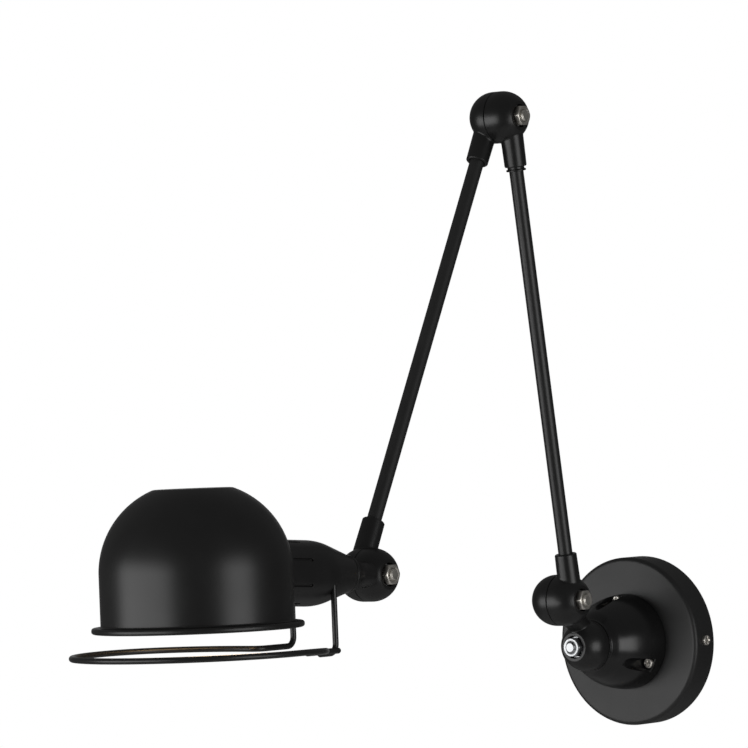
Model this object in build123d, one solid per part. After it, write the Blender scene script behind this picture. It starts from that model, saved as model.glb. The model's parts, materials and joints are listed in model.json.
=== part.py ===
from build123d import *
import os
from math import asin, atan2, cos, hypot, radians, sin, sqrt, tan

# Adjustable wall lamp: a wall canopy with a domed swivel, two tube arms on ball knuckles,
# and a deep shade that its lampholder enters from the side, with a wire ring as its handle.
# Millimetres. The origin is the middle of the canopy's back edge, on the wall plane XZ.
# The room is towards -Y, +Z is up.

# Pose, in degrees
lower_arm_lean = 8.0  # from upright, away from the wall
upper_arm_spread = 28.0  # from plumb, away from the wall
head_rise = 3.7  # neck above level

# Clearances
fit_gap = 0.05  # fixed pin, thread or tube in its bore, on the radius
running_gap = 0.08  # bolt or nipple in a bore that turns on it, on the radius
seat_gap = 0.3  # curved faces that sit against each other
seam_gap = 0.4  # between the rims of the two halves of a knuckle
hole_gap = 0.25  # screw in its clearance hole, on the radius

# Canopy and its wall bracket
canopy_radius = 60.0
canopy_depth = 22.0
canopy_wall = 1.5
canopy_edge = 3.0  # rounding of the front edge
canopy_cable_hole = 12.0  # radius of the hole behind the dome
bracket_thickness = 2.0
bracket_height = 26.0
bracket_cable_hole = 9.0  # radius
slot_spacing = 60.0
slot_length = 10.0
slot_width = 5.0
tab_width = 16.0
tab_depth = 17.0
terminal_length = 21.0
terminal_width = 13.0
terminal_depth = 11.0
terminal_poles = 3
terminal_bore = 1.7  # radius of each wire hole
terminal_screw_bore = 1.5
terminal_edge = 1.0  # rounding
side_screw_point = 4.0  # shank past the bracket's tab

# Small screws
screw_radius = 2.0
screw_head_radius = 3.6
screw_head_height = 2.4
screw_crown = 1.2  # rounding of the head
screw_cross_width = 0.9
screw_cross_length = 4.2
screw_cross_depth = 1.1
screw_nut_across = 7.0
screw_nut_height = 3.2
screw_point = 0.8  # shank past its nut

# Domed wall swivel
dome_base_radius = 34.0
dome_length = 45.4
dome_wall = 3.0
dome_nose_wall = 6.0
dome_nose_chamfer = 0.8
dome_screw_count = 3
dome_screw_radius = 29.6  # from the dome's axis
dome_pocket_radius = 4.75
dome_pocket_wall = 2.5
dome_flange = 9.5  # thickness under the screw heads
dome_wire_hole = 2.6

# Ball knuckles: two half cups on one bolt
knuckle_radius = 18.0
knuckle_straight = 3.5  # cylinder beside the seam, before the ball
knuckle_wall = 3.2
knuckle_chamfer = 0.7
cavity_depth = 8.0  # wire space round the hub
hub_wall = 4.0
boss_lip = 2.2  # round the nut's recess
recess_depth = 4.5
disc_thickness = 2.0
bolt_radius = 4.0
bolt_head_radius = 6.6
bolt_head_height = 2.6
bolt_socket_across = 5.0
bolt_socket_depth = 1.5
bolt_point = 1.2  # bolt past its nut
swivel_head_across = 13.0
swivel_head_height = 5.3
nut_across = 13.0
nut_height = 6.5
nut_space = 0.4  # round the nut's corners
washer_thickness = 1.6
washer_radius = 7.2

# Arms
tube_radius = 5.0
tube_wall = 1.0
tube_grip = 15.0  # tube inside each stub
lower_arm_length = 341.0  # joint axis to joint axis
upper_arm_length = 349.5
wall_stub_reach = 33.0  # joint axis to the stub's end
top_stub_reach = 35.0
head_stub_reach = 40.0
stub_end_wall = 2.7
stub_root_wall = 3.1
stub_seam_space = 0.6
stub_chamfer = 0.6
lock_ring_wall = 1.9
lock_ring_height = 3.0
lead_radius = 2.2

# Elbow between the dome and the lower arm
elbow_reach = 41.7  # seam of the dome to the lower arm's axis
elbow_rise = 34.4
elbow_knee = 14.0
elbow_neck_radius = 7.6
elbow_bend_share = 0.9  # of the shorter run that the bend takes up

# Head: yoke, lampholder cover and what they hold
yoke_length = 36.0  # joint axis to the swivel seam
yoke_neck_radius = 8.7
yoke_neck_length = 20.0
yoke_flare_radius = 12.8
swivel_washer_thickness = 0.6
nipple_radius = 5.0
nipple_wall = 1.5
nipple_grip = 12.0
nipple_point = 1.5
nipple_nut_across = 14.0
nipple_nut_height = 4.0
cover_back_wall = 3.0
cover_back_radius = 12.9
cover_radius = 21.8
cover_wall = 1.6
cover_barrel = 52.8  # cylinder behind the shade's wall
cover_shoulder = 60.0  # radius of the blend from cone to cylinder
cover_cone_left = 1.0  # straight part of a short cone that the blend leaves
vent_count = 8
vent_width = 2.2
vent_length = 20.0
vent_space = 10.5  # slots to the shade's wall
holder_length = 62.5
holder_back_length = 14.0
holder_back_radius = 15.5
holder_nose = 11.0  # past the shade's wall
holder_bore_depth = 32.0
holder_bore_radius = 14.8
shell_radius = 14.4
shell_wall = 0.5
shell_length = 24.0
contact_radius = 5.0
contact_thickness = 1.2
clamp_ring_width = 5.5
clamp_ring_height = 6.0

# Bulb with a screw cap
bulb_cap_radius = 13.2
bulb_cap_length = 23.0
bulb_tip_radius = 4.8
bulb_tip_length = 2.5
bulb_radius = 22.5
bulb_neck_radius = 12.4
bulb_length = 77.0  # tip to crown
bulb_wall = 1.2
bulb_shoulder = 130.0  # where the neck's curve meets the globe, degrees from the crown

# Shade
shade_reach = 183.7  # joint axis to the shade's own axis
shade_lean = 3.4  # shade and ring, forward of square to the neck, degrees
shade_drop = 37.6  # neck axis to the rim
shade_radius = 62.2
shade_height = 90.6
shade_skirt = 37.1  # straight wall above the rim
shade_top_radius = 25.4
shade_top_edge = 7.0  # rounding of the flat top's edge
shade_wall = 1.2
rim_radius = 68.2
rim_thickness = 4.0
rim_rounding = 1.9

# Wire handle under the shade
wire_radius = 2.0
ring_radius = 81.2
ring_drop = 14.9  # rim to the ring's centre line
ring_leg_spread = 18.0  # each leg from the middle plane
ring_throat = 9.0  # bend from leg to ring
left_leg_turn = 1.5  # leg and the ring's back quarter, down about the ring's side, degrees
right_leg_turn = 4.6
splice_length = 18.0  # foot of the right rod, welded to its leg
splice_side = 3.2  # leg beside that rod
splice_drop = 1.6  # foot below the leg
rod_inset = 0.3  # upright rods past the cover's cone
rod_bend = 6.0
rod_top = 4.5  # rod ends below the neck axis

# Values that follow from the sizes above
earth_screw_place = (bracket_cable_hole + slot_spacing / 2 - slot_length / 2) / 2  # from the middle
terminal_place = earth_screw_place
canopy_inner_radius = canopy_radius - canopy_wall
seam_y = -(canopy_depth + dome_length)
tube_inner_radius = tube_radius - tube_wall
stub_end_radius = tube_radius + stub_end_wall
stub_root_radius = tube_radius + stub_root_wall
stub_offset = stub_root_radius + stub_seam_space  # seam to the stub's axis
hub_radius = bolt_radius + hub_wall
recess_radius = nut_across / sqrt(3) + nut_space
boss_face_radius = recess_radius + boss_lip
knuckle_depth = knuckle_straight + sqrt(knuckle_radius**2 - boss_face_radius**2)
bolt_seat = knuckle_depth - recess_depth  # seam to the floor of a nut's recess
cover_back = yoke_length + swivel_washer_thickness
cover_inner_radius = cover_radius - cover_wall
holder_radius = cover_inner_radius - seat_gap
shade_side = shade_reach - shade_radius  # joint axis to the shade's wall
cone_end = shade_side - cover_barrel
vent_middle = shade_side - vent_space - vent_length / 2
rod_reach = cone_end + rod_inset
holder_front = shade_side + holder_nose
holder_back = holder_front - holder_length
ring_level = -(shade_drop + ring_drop)
rod_place = rod_reach - shade_reach  # from the shade's axis
rod_end = rod_place * tan(radians(shade_lean)) - rod_top

# Joint centres
wall_joint = Vector(stub_offset, seam_y - elbow_reach, elbow_rise)
lower_arm_up = Vector(0, -sin(radians(lower_arm_lean)), cos(radians(lower_arm_lean)))
upper_arm_down = Vector(0, -sin(radians(upper_arm_spread)), -cos(radians(upper_arm_spread)))
head_out = Vector(0, -cos(radians(head_rise)), sin(radians(head_rise)))
head_up = Vector(0, sin(radians(head_rise)), cos(radians(head_rise)))
top_joint = wall_joint + lower_arm_up * lower_arm_length
head_joint = top_joint + upper_arm_down * upper_arm_length

# Frames: z leaves the seam, x runs along the stub
right_side = Vector(1, 0, 0)
left_side = Vector(-1, 0, 0)
wall_out = Vector(0, -1, 0)
up = Vector(0, 0, 1)
dome_frame = Plane(origin=(0, -canopy_depth, 0), x_dir=right_side, z_dir=wall_out).location
swivel_frame = Plane(origin=(0, seam_y, 0), x_dir=up, z_dir=wall_out).location
head_centre = head_joint + right_side * stub_offset
head_frame = Plane(origin=head_centre, x_dir=head_out, z_dir=head_up).location
shade_frame = Pos(shade_reach, 0, 0) * Rot(0, shade_lean, 0)  # in the head's frame

base_up = (Align.CENTER, Align.CENTER, Align.MIN)


def knuckle_frame(centre, side, direction):
    return Plane(origin=centre, x_dir=direction, z_dir=side).location


def rod(radius, start, end):
    """A cylinder along z from start to end."""
    return Pos(0, 0, start) * Cylinder(radius, end - start, align=base_up)


def rod_x(radius, start, end):
    """A cylinder along x from start to end."""
    return Pos(start, 0, 0) * Rot(0, 90, 0) * Cylinder(radius, end - start, align=base_up)


def pipe(outer, inner, start, end):
    return rod(outer, start, end) - rod(inner, start, end)


def pipe_x(outer, inner, start, end):
    return rod_x(outer, start, end) - rod_x(inner, start, end)


def hexagon(across, start, end):
    return Pos(0, 0, start) * extrude(RegularPolygon(across / 2, 6, major_radius=False), end - start)


def turned(*edges):
    """Revolve an outline given as (radius, z) about the z axis."""
    return revolve(Plane.XZ * make_face(edges), Axis.Z)


def turned_x(*edges):
    """Revolve an outline given as (x, radius) about the x axis."""
    return revolve(make_face(edges), Axis.X)


def pan_screw(length):
    """A pan head screw with a cross recess: head above z = 0, shank below."""
    head = rod(screw_head_radius, 0, screw_head_height)
    rim = head.edges().sort_by(Axis.Z)[-1]
    head = fillet(rim, screw_crown)
    cross_floor = screw_head_height - screw_cross_depth
    arm = Box(screw_cross_length, screw_cross_width, screw_cross_depth, align=base_up)
    for turn in (0, 90):
        head -= Pos(0, 0, cross_floor) * Rot(0, 0, turn) * arm
    return head + rod(screw_radius, -length, 0)


# Wall side


def wall_bracket():
    """Strip across the canopy with slots for the wall screws and a bent tab at each end."""
    tab_face = sqrt(canopy_inner_radius**2 - (tab_width / 2) ** 2) - seat_gap
    strip = Box(tab_face * 2, bracket_thickness, bracket_height)
    strip = Pos(0, -bracket_thickness / 2, 0) * strip
    strip &= Rot(90, 0, 0) * rod(hypot(tab_face, tab_width / 2), -1, canopy_depth)
    slot = Rot(90, 0, 0) * extrude(SlotOverall(slot_length, slot_width), bracket_thickness)
    hole = Rot(90, 0, 0) * rod(bracket_cable_hole, 0, bracket_thickness)
    strip -= hole
    strip -= Pos(-earth_screw_place, 0, 0) * Rot(90, 0, 0) * rod(screw_radius + fit_gap, 0, bracket_thickness)
    for side in (-1, 1):
        strip -= Pos(side * slot_spacing / 2, 0, 0) * slot
        tab = Box(bracket_thickness, tab_depth, tab_width)
        tab_middle = side * (tab_face - bracket_thickness / 2)
        tab = Pos(tab_middle, -tab_depth / 2, 0) * tab
        tab -= Pos(tab_middle, -canopy_depth / 2, 0) * rod_x(
            screw_radius + fit_gap, -bracket_thickness, bracket_thickness
        )
        strip += tab
    return strip


def dome_screw_places():
    """Frames of the dome's screws on the canopy's face, the first at the top."""
    first = Pos(0, dome_screw_radius, 0)
    return [Rot(0, 0, 360 / dome_screw_count * index) * first for index in range(dome_screw_count)]


def canopy():
    """Spun cup with its open side on the wall."""
    cup = rod(canopy_radius, -canopy_depth, 0)
    cup = fillet(cup.edges().sort_by(Axis.Z)[-1], canopy_edge)
    hollow = rod(canopy_inner_radius, -canopy_depth, -canopy_wall)
    hollow = fillet(hollow.edges().sort_by(Axis.Z)[-1], canopy_edge - canopy_wall)
    cup -= hollow
    cup -= rod(canopy_cable_hole, -canopy_depth, 0)
    for place in dome_screw_places():
        cup -= place * rod(screw_radius + hole_gap, -canopy_depth, 0)
    side_hole = rod_x(screw_radius + hole_gap, -canopy_radius, canopy_radius)
    cup -= Pos(0, 0, -canopy_depth / 2) * side_hole
    return dome_frame * cup


def canopy_side_screws():
    """The two screws that hold the canopy to the bracket's tabs."""
    grip = canopy_wall + bracket_thickness + side_screw_point
    screw = Pos(canopy_radius, -canopy_depth / 2, 0) * Rot(0, 90, 0) * pan_screw(grip)
    return [screw, Rot(0, 0, 180) * Pos(0, canopy_depth, 0) * screw]


def terminal_block():
    """Screw terminals on the bracket, one pole above another."""
    block = Box(terminal_width, terminal_depth, terminal_length)
    block = fillet(block.edges().filter_by(Axis.Y), terminal_edge)
    pitch = terminal_length / terminal_poles
    for pole in range(terminal_poles):
        height = (pole - (terminal_poles - 1) / 2) * pitch
        block -= Pos(0, 0, height) * rod_x(terminal_bore, -terminal_width, terminal_width)
        front = Pos(0, -terminal_depth / 2, height) * Rot(90, 0, 0)
        block -= front * rod(terminal_screw_bore, -terminal_depth / 2, 0)
    return Pos(terminal_place, -bracket_thickness - terminal_depth / 2, 0) * block


def earth_screw():
    return Pos(-earth_screw_place, -bracket_thickness, 0) * Rot(90, 0, 0) * pan_screw(bracket_thickness)


def dome_outline(radius, arc_radius, length):
    """Ogive: an arc that leaves the base square to it, then a flat nose."""
    nose = radius - arc_radius + sqrt(arc_radius**2 - length**2)
    return (
        TangentArc((radius, 0), (nose, length), tangent=(0, 1)),
        Polyline((nose, length), (0, length), (0, 0), (radius, 0)),
    )


def wall_dome():
    """Hollow cast dome: three screw pockets in its flank, the swivel's seat on its nose."""
    flare = dome_base_radius - knuckle_radius
    arc_radius = (flare**2 + dome_length**2) / (2 * flare)
    nose_face = dome_length - seam_gap / 2
    dome = turned(*dome_outline(dome_base_radius, arc_radius, nose_face))
    dome = chamfer(dome.edges().sort_by(Axis.Z)[-1], dome_nose_chamfer)
    hollow_length = dome_length - dome_nose_wall
    hollow = turned(*dome_outline(dome_base_radius - dome_wall, arc_radius - dome_wall, hollow_length))
    for place in dome_screw_places():
        hollow -= place * rod(dome_pocket_radius + dome_pocket_wall, 0, dome_length)
    dome -= hollow
    for place in dome_screw_places():
        dome -= place * rod(dome_pocket_radius, dome_flange, dome_length)
        dome -= place * rod(screw_radius + hole_gap, 0, dome_flange)
    dome -= rod(hub_radius + seat_gap, dome_length - disc_thickness / 2, dome_length)
    dome -= rod(bolt_radius + fit_gap, 0, dome_length)
    wire_circle = (hub_radius + knuckle_radius - knuckle_wall) / 2
    dome -= Pos(0, -wire_circle, 0) * rod(dome_wire_hole, hollow_length, dome_length)
    return dome_frame * dome


def dome_screws():
    length = dome_flange + canopy_wall + screw_nut_height + screw_point
    return [dome_frame * place * Pos(0, 0, dome_flange) * pan_screw(length) for place in dome_screw_places()]


def dome_screw_nuts():
    """Nuts behind the canopy's face."""
    nut = hexagon(screw_nut_across, -canopy_wall - screw_nut_height, -canopy_wall)
    nut -= rod(screw_radius + fit_gap, -canopy_depth, 0)
    return [dome_frame * place * nut for place in dome_screw_places()]


# Knuckles


def cup_blank():
    """Outside of a half knuckle: a short cylinder, then a ball cut flat at the nut's boss."""
    rim = seam_gap / 2
    boss_turn = asin((knuckle_depth - knuckle_straight) / knuckle_radius)
    middle = boss_turn / 2
    ball_middle = (knuckle_radius * cos(middle), knuckle_straight + knuckle_radius * sin(middle))
    return turned(
        Polyline(
            (0, knuckle_depth),
            (0, rim),
            (knuckle_radius - knuckle_chamfer, rim),
            (knuckle_radius, rim + knuckle_chamfer),
            (knuckle_radius, knuckle_straight),
        ),
        ThreePointArc(
            (knuckle_radius, knuckle_straight),
            ball_middle,
            (boss_face_radius, knuckle_depth),
        ),
        Line((boss_face_radius, knuckle_depth), (0, knuckle_depth)),
    )


def cup_hollow():
    """Wire space round the hub, the disc's seat, the bolt's bore and the nut's recess."""
    wire_space = pipe(knuckle_radius - knuckle_wall, hub_radius, 0, cavity_depth)
    disc_seat = rod(knuckle_radius - knuckle_wall, 0, disc_thickness / 2)
    bore = rod(bolt_radius + running_gap, 0, knuckle_depth)
    recess = rod(recess_radius, bolt_seat, bolt_seat + washer_thickness + nut_height + bolt_point)
    return wire_space + disc_seat + bore + recess


def wire_way(end):
    """Hole along the stub's axis from the wire space to a distance from the joint."""
    return Pos(0, 0, stub_offset) * rod_x(tube_inner_radius, hub_radius, end)


def arm_cup(reach):
    """Half knuckle with a tapered stub for an arm's tube, in its knuckle frame."""
    stub = Cone(stub_root_radius, stub_end_radius, reach - hub_radius, align=base_up)
    stub = chamfer(stub.edges().sort_by(Axis.Z)[-1], stub_chamfer)
    cup = cup_blank() + Pos(hub_radius, 0, stub_offset) * Rot(0, 90, 0) * stub
    cup -= cup_hollow()
    cup -= wire_way(reach)
    socket = rod_x(tube_radius + fit_gap, reach - tube_grip, reach)
    return cup - Pos(0, 0, stub_offset) * socket


def friction_disc():
    return pipe(hub_radius, bolt_radius + running_gap, -disc_thickness / 2, disc_thickness / 2)


def pivot_washer():
    return pipe(washer_radius, bolt_radius + running_gap, bolt_seat, bolt_seat + washer_thickness)


def pivot_nut():
    start = bolt_seat + washer_thickness
    nut = hexagon(nut_across, start, start + nut_height)
    corners = Pos(0, 0, start) * Cone(
        nut_across / 2 + nut_height, nut_across / 2, nut_height, align=base_up
    )
    return (nut & corners) - rod(bolt_radius + fit_gap, start, start + nut_height)


def bolt_shank(seat):
    """Shank from a seat behind the seam to just past the nut, with a chamfered point."""
    end = bolt_seat + washer_thickness + nut_height + bolt_point
    shank = rod(bolt_radius, -seat, end)
    return chamfer(shank.edges().sort_by(Axis.Z)[-1], bolt_point / 2)


def pivot_bolt():
    """Low head bolt with a hex socket, its head in the far half's recess."""
    head = rod(bolt_head_radius, -bolt_seat - bolt_head_height, -bolt_seat)
    head -= hexagon(
        bolt_socket_across,
        -bolt_seat - bolt_head_height,
        -bolt_seat - bolt_head_height + bolt_socket_depth,
    )
    return head + bolt_shank(bolt_seat)


def swivel_bolt():
    """Hex bolt through the dome's nose, its head inside the dome."""
    head = hexagon(swivel_head_across, -dome_nose_wall - swivel_head_height, -dome_nose_wall)
    return head + bolt_shank(dome_nose_wall)


def swivel_elbow():
    """Front half of the wall swivel, a bent neck, and the left half of the wall knuckle."""
    ball_frame = knuckle_frame(wall_joint, left_side, up)
    start = Vector(0, seam_y - stub_offset, 0)
    knee = start + up * elbow_knee
    end = Vector(0, wall_joint.Y, wall_joint.Z)
    turn = atan2(start.Y - end.Y, end.Z - knee.Z)
    shorter_run = min(elbow_knee, (end - knee).length)
    bend = elbow_bend_share * shorter_run / tan(turn / 2)
    path = FilletPolyline(start, knee, end, radius=bend)
    section = Plane(origin=start, z_dir=up)
    neck = sweep(section * Circle(elbow_neck_radius), path)
    way = sweep(section * Circle(tube_inner_radius), path)
    way -= swivel_frame * rod(hub_radius, 0, knuckle_depth)
    way -= ball_frame * rod(hub_radius, 0, knuckle_depth)
    elbow = swivel_frame * cup_blank() + ball_frame * cup_blank() + neck
    elbow -= swivel_frame * cup_hollow()
    elbow -= ball_frame * cup_hollow()
    return elbow - way


# Arms


def arm_tube(length, first_reach, last_reach):
    """Tube between two stubs, along x from the first joint."""
    start = first_reach - tube_grip
    return pipe_x(tube_radius, tube_inner_radius, start, length - last_reach + tube_grip)


def arm_lead(length):
    """Cable inside the tube, lying on its wall."""
    sag = tube_inner_radius - lead_radius - seat_gap
    return Pos(0, sag, 0) * rod_x(lead_radius, knuckle_radius, length - knuckle_radius)


def lock_ring():
    """Threaded ring that locks the tube, under the upper stub of the lower arm."""
    start = lower_arm_length - top_stub_reach - lock_ring_height
    return pipe_x(
        tube_radius + lock_ring_wall,
        tube_radius + fit_gap,
        start,
        start + lock_ring_height,
    )


# Head


def head_yoke():
    """Right half of the head knuckle with a neck that flares to the swivel seam."""
    neck = turned_x(
        Polyline(
            (yoke_length, 0),
            (hub_radius, 0),
            (hub_radius, yoke_neck_radius),
            (yoke_neck_length, yoke_neck_radius),
        ),
        TangentArc(
            (yoke_neck_length, yoke_neck_radius),
            (yoke_length - knuckle_chamfer, yoke_flare_radius),
            tangent=(1, 0),
        ),
        Polyline(
            (yoke_length - knuckle_chamfer, yoke_flare_radius),
            (yoke_length, yoke_flare_radius),
            (yoke_length, 0),
        ),
    )
    neck &= rod_x(yoke_flare_radius, 0, yoke_length)
    yoke = cup_blank() + Pos(0, 0, stub_offset) * neck
    yoke -= cup_hollow()
    yoke -= wire_way(yoke_length)
    socket = rod_x(nipple_radius + fit_gap, yoke_length - nipple_grip, yoke_length)
    return yoke - Pos(0, 0, stub_offset) * socket


def swivel_washer():
    """Thin fibre washer in the seam between the yoke and the cover."""
    return pipe_x(yoke_flare_radius - knuckle_chamfer, nipple_radius + running_gap, yoke_length, cover_back)


def head_nipple():
    """Hollow threaded rod that the cover turns on."""
    end = cover_back + cover_back_wall + nipple_nut_height + nipple_point
    return pipe_x(nipple_radius, nipple_radius - nipple_wall, yoke_length - nipple_grip, end)


def head_nipple_nut():
    start = cover_back + cover_back_wall
    nut = hexagon(nipple_nut_across, start, start + nipple_nut_height)
    nut -= rod(nipple_radius + fit_gap, start, start + nipple_nut_height)
    return Rot(0, 90, 0) * nut


def head_lead():
    """Cable from the yoke through the nipple to the back of the lampholder."""
    sag = nipple_radius - nipple_wall - lead_radius - seat_gap
    return Pos(0, sag, 0) * rod_x(lead_radius, knuckle_radius, holder_back)


def shade_form(radius, height, skirt, top_radius):
    """Solid of revolution: straight skirt, an arc that leaves it smoothly, a flat top."""
    return turned(
        Polyline((top_radius, height), (0, height), (0, 0), (radius, 0), (radius, skirt)),
        TangentArc((radius, skirt), (top_radius, height), tangent=(0, 1)),
    )


def shade_place():
    return shade_frame * Pos(0, 0, -shade_drop)


def shade_outside(grow):
    """The shade's outer form, grown by a gap, in the head's frame."""
    form = shade_form(shade_radius + grow, shade_height + grow, shade_skirt, shade_top_radius)
    return shade_place() * form


def shade_inside(shrink):
    """The shade's hollow, open at the rim, drawn in by a gap."""
    wall = shade_wall + shrink
    rise = shade_height - shade_skirt
    inset = shade_radius - shade_top_radius
    arc_radius = (inset**2 + rise**2) / (2 * inset)
    inner_rise = rise - wall
    inner_top = shade_radius - arc_radius + sqrt((arc_radius - wall) ** 2 - inner_rise**2)
    form = shade_form(shade_radius - wall, shade_height - wall, shade_skirt, inner_top)
    return shade_place() * form


def shade():
    """Spun bell with a rolled rim and a round hole in its side for the lampholder."""
    bell = shade_outside(0)
    top_edge = bell.edges().filter_by(GeomType.CIRCLE).sort_by(Axis.Z)[-1]
    bell = fillet(top_edge, shade_top_edge)
    lip = rod(rim_radius, 0, rim_thickness)
    lip = fillet(lip.edges().filter_by(GeomType.CIRCLE), rim_rounding)
    bell += shade_place() * lip
    bell -= shade_inside(0)
    return bell - rod_x(holder_radius + seat_gap, shade_side - holder_nose, shade_reach)


def shoulder_radius(radius, run, rise):
    """Blend from a cone of this run and rise to its cylinder, limited by the length of the cone."""
    half_turn = atan2(rise, run) / 2
    return min(radius, (hypot(run, rise) - cover_cone_left) / tan(half_turn))


def lampholder_cover():
    """Cone and cylinder over the lampholder, with vent slots, coped to the shade's side."""
    cone_rise = cover_radius - cover_back_radius
    hollow_start = cover_back + cover_back_wall
    outside = turned_x(
        FilletPolyline(
            (cover_back, cover_back_radius),
            (cone_end, cover_radius),
            (shade_reach, cover_radius),
            radius=shoulder_radius(cover_shoulder, cone_end - cover_back, cone_rise),
        ),
        Polyline(
            (shade_reach, cover_radius),
            (shade_reach, 0),
            (cover_back, 0),
            (cover_back, cover_back_radius),
        ),
    )
    hollow = turned_x(
        FilletPolyline(
            (hollow_start, cover_back_radius - cover_wall),
            (cone_end, cover_inner_radius),
            (shade_reach, cover_inner_radius),
            radius=shoulder_radius(cover_shoulder - cover_wall, cone_end - hollow_start, cone_rise),
        ),
        Polyline(
            (shade_reach, cover_inner_radius),
            (shade_reach, 0),
            (hollow_start, 0),
            (hollow_start, cover_back_radius - cover_wall),
        ),
    )
    cover = outside - hollow
    cover -= shade_outside(seat_gap)
    cover -= rod_x(nipple_radius + running_gap, cover_back, hollow_start)
    slot = extrude(SlotOverall(vent_length, vent_width), cover_radius)
    first_turn = 180 / vent_count  # no slot at the very top
    for index in range(vent_count):
        turn = 360 / vent_count * index
        cover -= Rot(first_turn + turn, 0, 0) * Pos(vent_middle, 0, 0) * slot
    for side in (-1, 1):
        rod_hole = rod(wire_radius + fit_gap, rod_end - cover_radius, rod_end + seat_gap)
        cover -= shade_frame * Pos(rod_place, side * ring_leg_spread, 0) * rod_hole
    return cover


def lampholder():
    """Insulating body: a slimmer back, then a barrel that passes through the shade's wall."""
    shoulder = holder_back + holder_back_length
    body = rod_x(holder_back_radius, holder_back, shoulder) + rod_x(holder_radius, shoulder, holder_front)
    bore_floor = holder_front - holder_bore_depth
    return body - rod_x(holder_bore_radius, bore_floor, holder_front)


def socket_shell():
    """Screw shell in the lampholder's bore."""
    floor = holder_front - holder_bore_depth
    shell = rod_x(shell_radius, floor, floor + shell_length)
    return shell - rod_x(shell_radius - shell_wall, floor + contact_thickness, floor + shell_length)


def centre_contact():
    start = holder_front - holder_bore_depth + contact_thickness
    return rod_x(contact_radius, start, start + contact_thickness)


def shade_clamp_ring():
    """Threaded ring on the lampholder's barrel, its back coped to the inside of the shade."""
    front = holder_front - shade_wall
    outer = holder_radius + clamp_ring_width
    ring = pipe_x(outer, holder_radius + fit_gap, front - clamp_ring_height - holder_nose, front)
    return ring & shade_inside(seat_gap)


def bulb_start():
    """Back of the bulb's tip, on the centre contact."""
    return holder_front - holder_bore_depth + 2 * contact_thickness


def bulb_cap():
    tip_end = bulb_start() + bulb_tip_length
    tip = rod_x(bulb_tip_radius, bulb_start(), tip_end)
    cap = rod_x(bulb_cap_radius, tip_end, tip_end + bulb_cap_length)
    back_edge = cap.edges().filter_by(GeomType.CIRCLE).sort_by(Axis.X)[0]
    cap = fillet(back_edge, bulb_tip_length)
    cap -= rod_x(bulb_cap_radius - bulb_wall, tip_end + bulb_tip_length, tip_end + bulb_cap_length)
    return cap + tip


def bulb_form(shrink, start):
    """Globe on a neck that meets it in a smooth curve."""
    globe = bulb_radius - shrink
    neck = bulb_neck_radius - shrink
    centre = bulb_start() + bulb_length - bulb_radius
    crown = centre + globe
    join = radians(bulb_shoulder)
    meeting = (centre + globe * cos(join), globe * sin(join))
    slope = (sin(join), -cos(join))
    return turned_x(
        Polyline((crown, 0), (start, 0), (start, neck)),
        Spline((start, neck), meeting, tangents=((1, 0), slope)),
        ThreePointArc(meeting, (centre, globe), (crown, 0)),
    )


def bulb_glass():
    """Thin glass globe seated on the end of its cap."""
    start = bulb_start() + bulb_tip_length + bulb_cap_length
    return bulb_form(0, start) - bulb_form(bulb_wall, start)


def wire(*lines):
    """Round wire along lines that follow each other."""
    path = Wire(Wire.combine(lines)[0].edges())
    section = Plane(origin=path @ 0, z_dir=path % 0)
    return sweep(section * Circle(wire_radius), path)


def ring_leg(side, leg_y, turn):
    """Points on one side of the wire: ring's side, ring's end, leg's start and foot."""
    far = ring_radius + ring_throat
    throat_y = leg_y + side * ring_throat
    throat_x = -sqrt(far**2 - throat_y**2)
    share = ring_radius / far
    hinge = Pos(0, side * ring_radius, ring_level) * Rot(side * turn, 0, 0)
    places = (
        (0, side * ring_radius),
        (throat_x * share, throat_y * share),
        (throat_x, leg_y),
        (rod_place, leg_y),
    )
    return [(hinge * Pos(x, y - side * ring_radius, 0)).position for x, y in places]


def guard_ring():
    """Left rod, leg, ring round the shade and right leg of one wire, with the right rod welded on."""
    left_flank, left_end, left_leg, left_foot = ring_leg(-1, -ring_leg_spread, left_leg_turn)
    right_flank, right_end, right_leg, right_foot = ring_leg(1, ring_leg_spread + splice_side, right_leg_turn)
    front = Vector(ring_radius, 0, ring_level)
    along = Vector(1, 0, 0)
    left_top = Vector(left_foot.X, left_foot.Y, rod_end)
    ring = wire(
        FilletPolyline(left_top, left_foot, left_leg, radius=rod_bend),
        TangentArc(left_leg, left_end, tangent=along),
        TangentArc(left_flank, left_end, tangent=along * -1),
        ThreePointArc(left_flank, front, right_flank),
        TangentArc(right_flank, right_end, tangent=along * -1),
        TangentArc(right_leg, right_end, tangent=along),
        Line(right_leg, right_foot),
    )
    right_top = Vector(rod_place, ring_leg_spread, rod_end)
    weld = Vector(rod_place, ring_leg_spread, right_foot.Z - splice_drop)
    weld_end = weld + along * splice_length
    rod_wire = wire(FilletPolyline(right_top, weld, weld_end, radius=rod_bend))
    return shade_frame * (ring + rod_wire)


# Pieces, each with the frame that carries it
lower_wall_frame = knuckle_frame(wall_joint, right_side, lower_arm_up)
lower_top_frame = knuckle_frame(top_joint, right_side, lower_arm_up * -1)
upper_top_frame = knuckle_frame(top_joint, left_side, upper_arm_down)
upper_head_frame = knuckle_frame(head_joint, left_side, upper_arm_down * -1)
yoke_frame = knuckle_frame(head_joint, right_side, head_out)
lower_tube_frame = lower_wall_frame * Pos(0, 0, stub_offset)
upper_tube_frame = upper_top_frame * Pos(0, 0, stub_offset)

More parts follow.
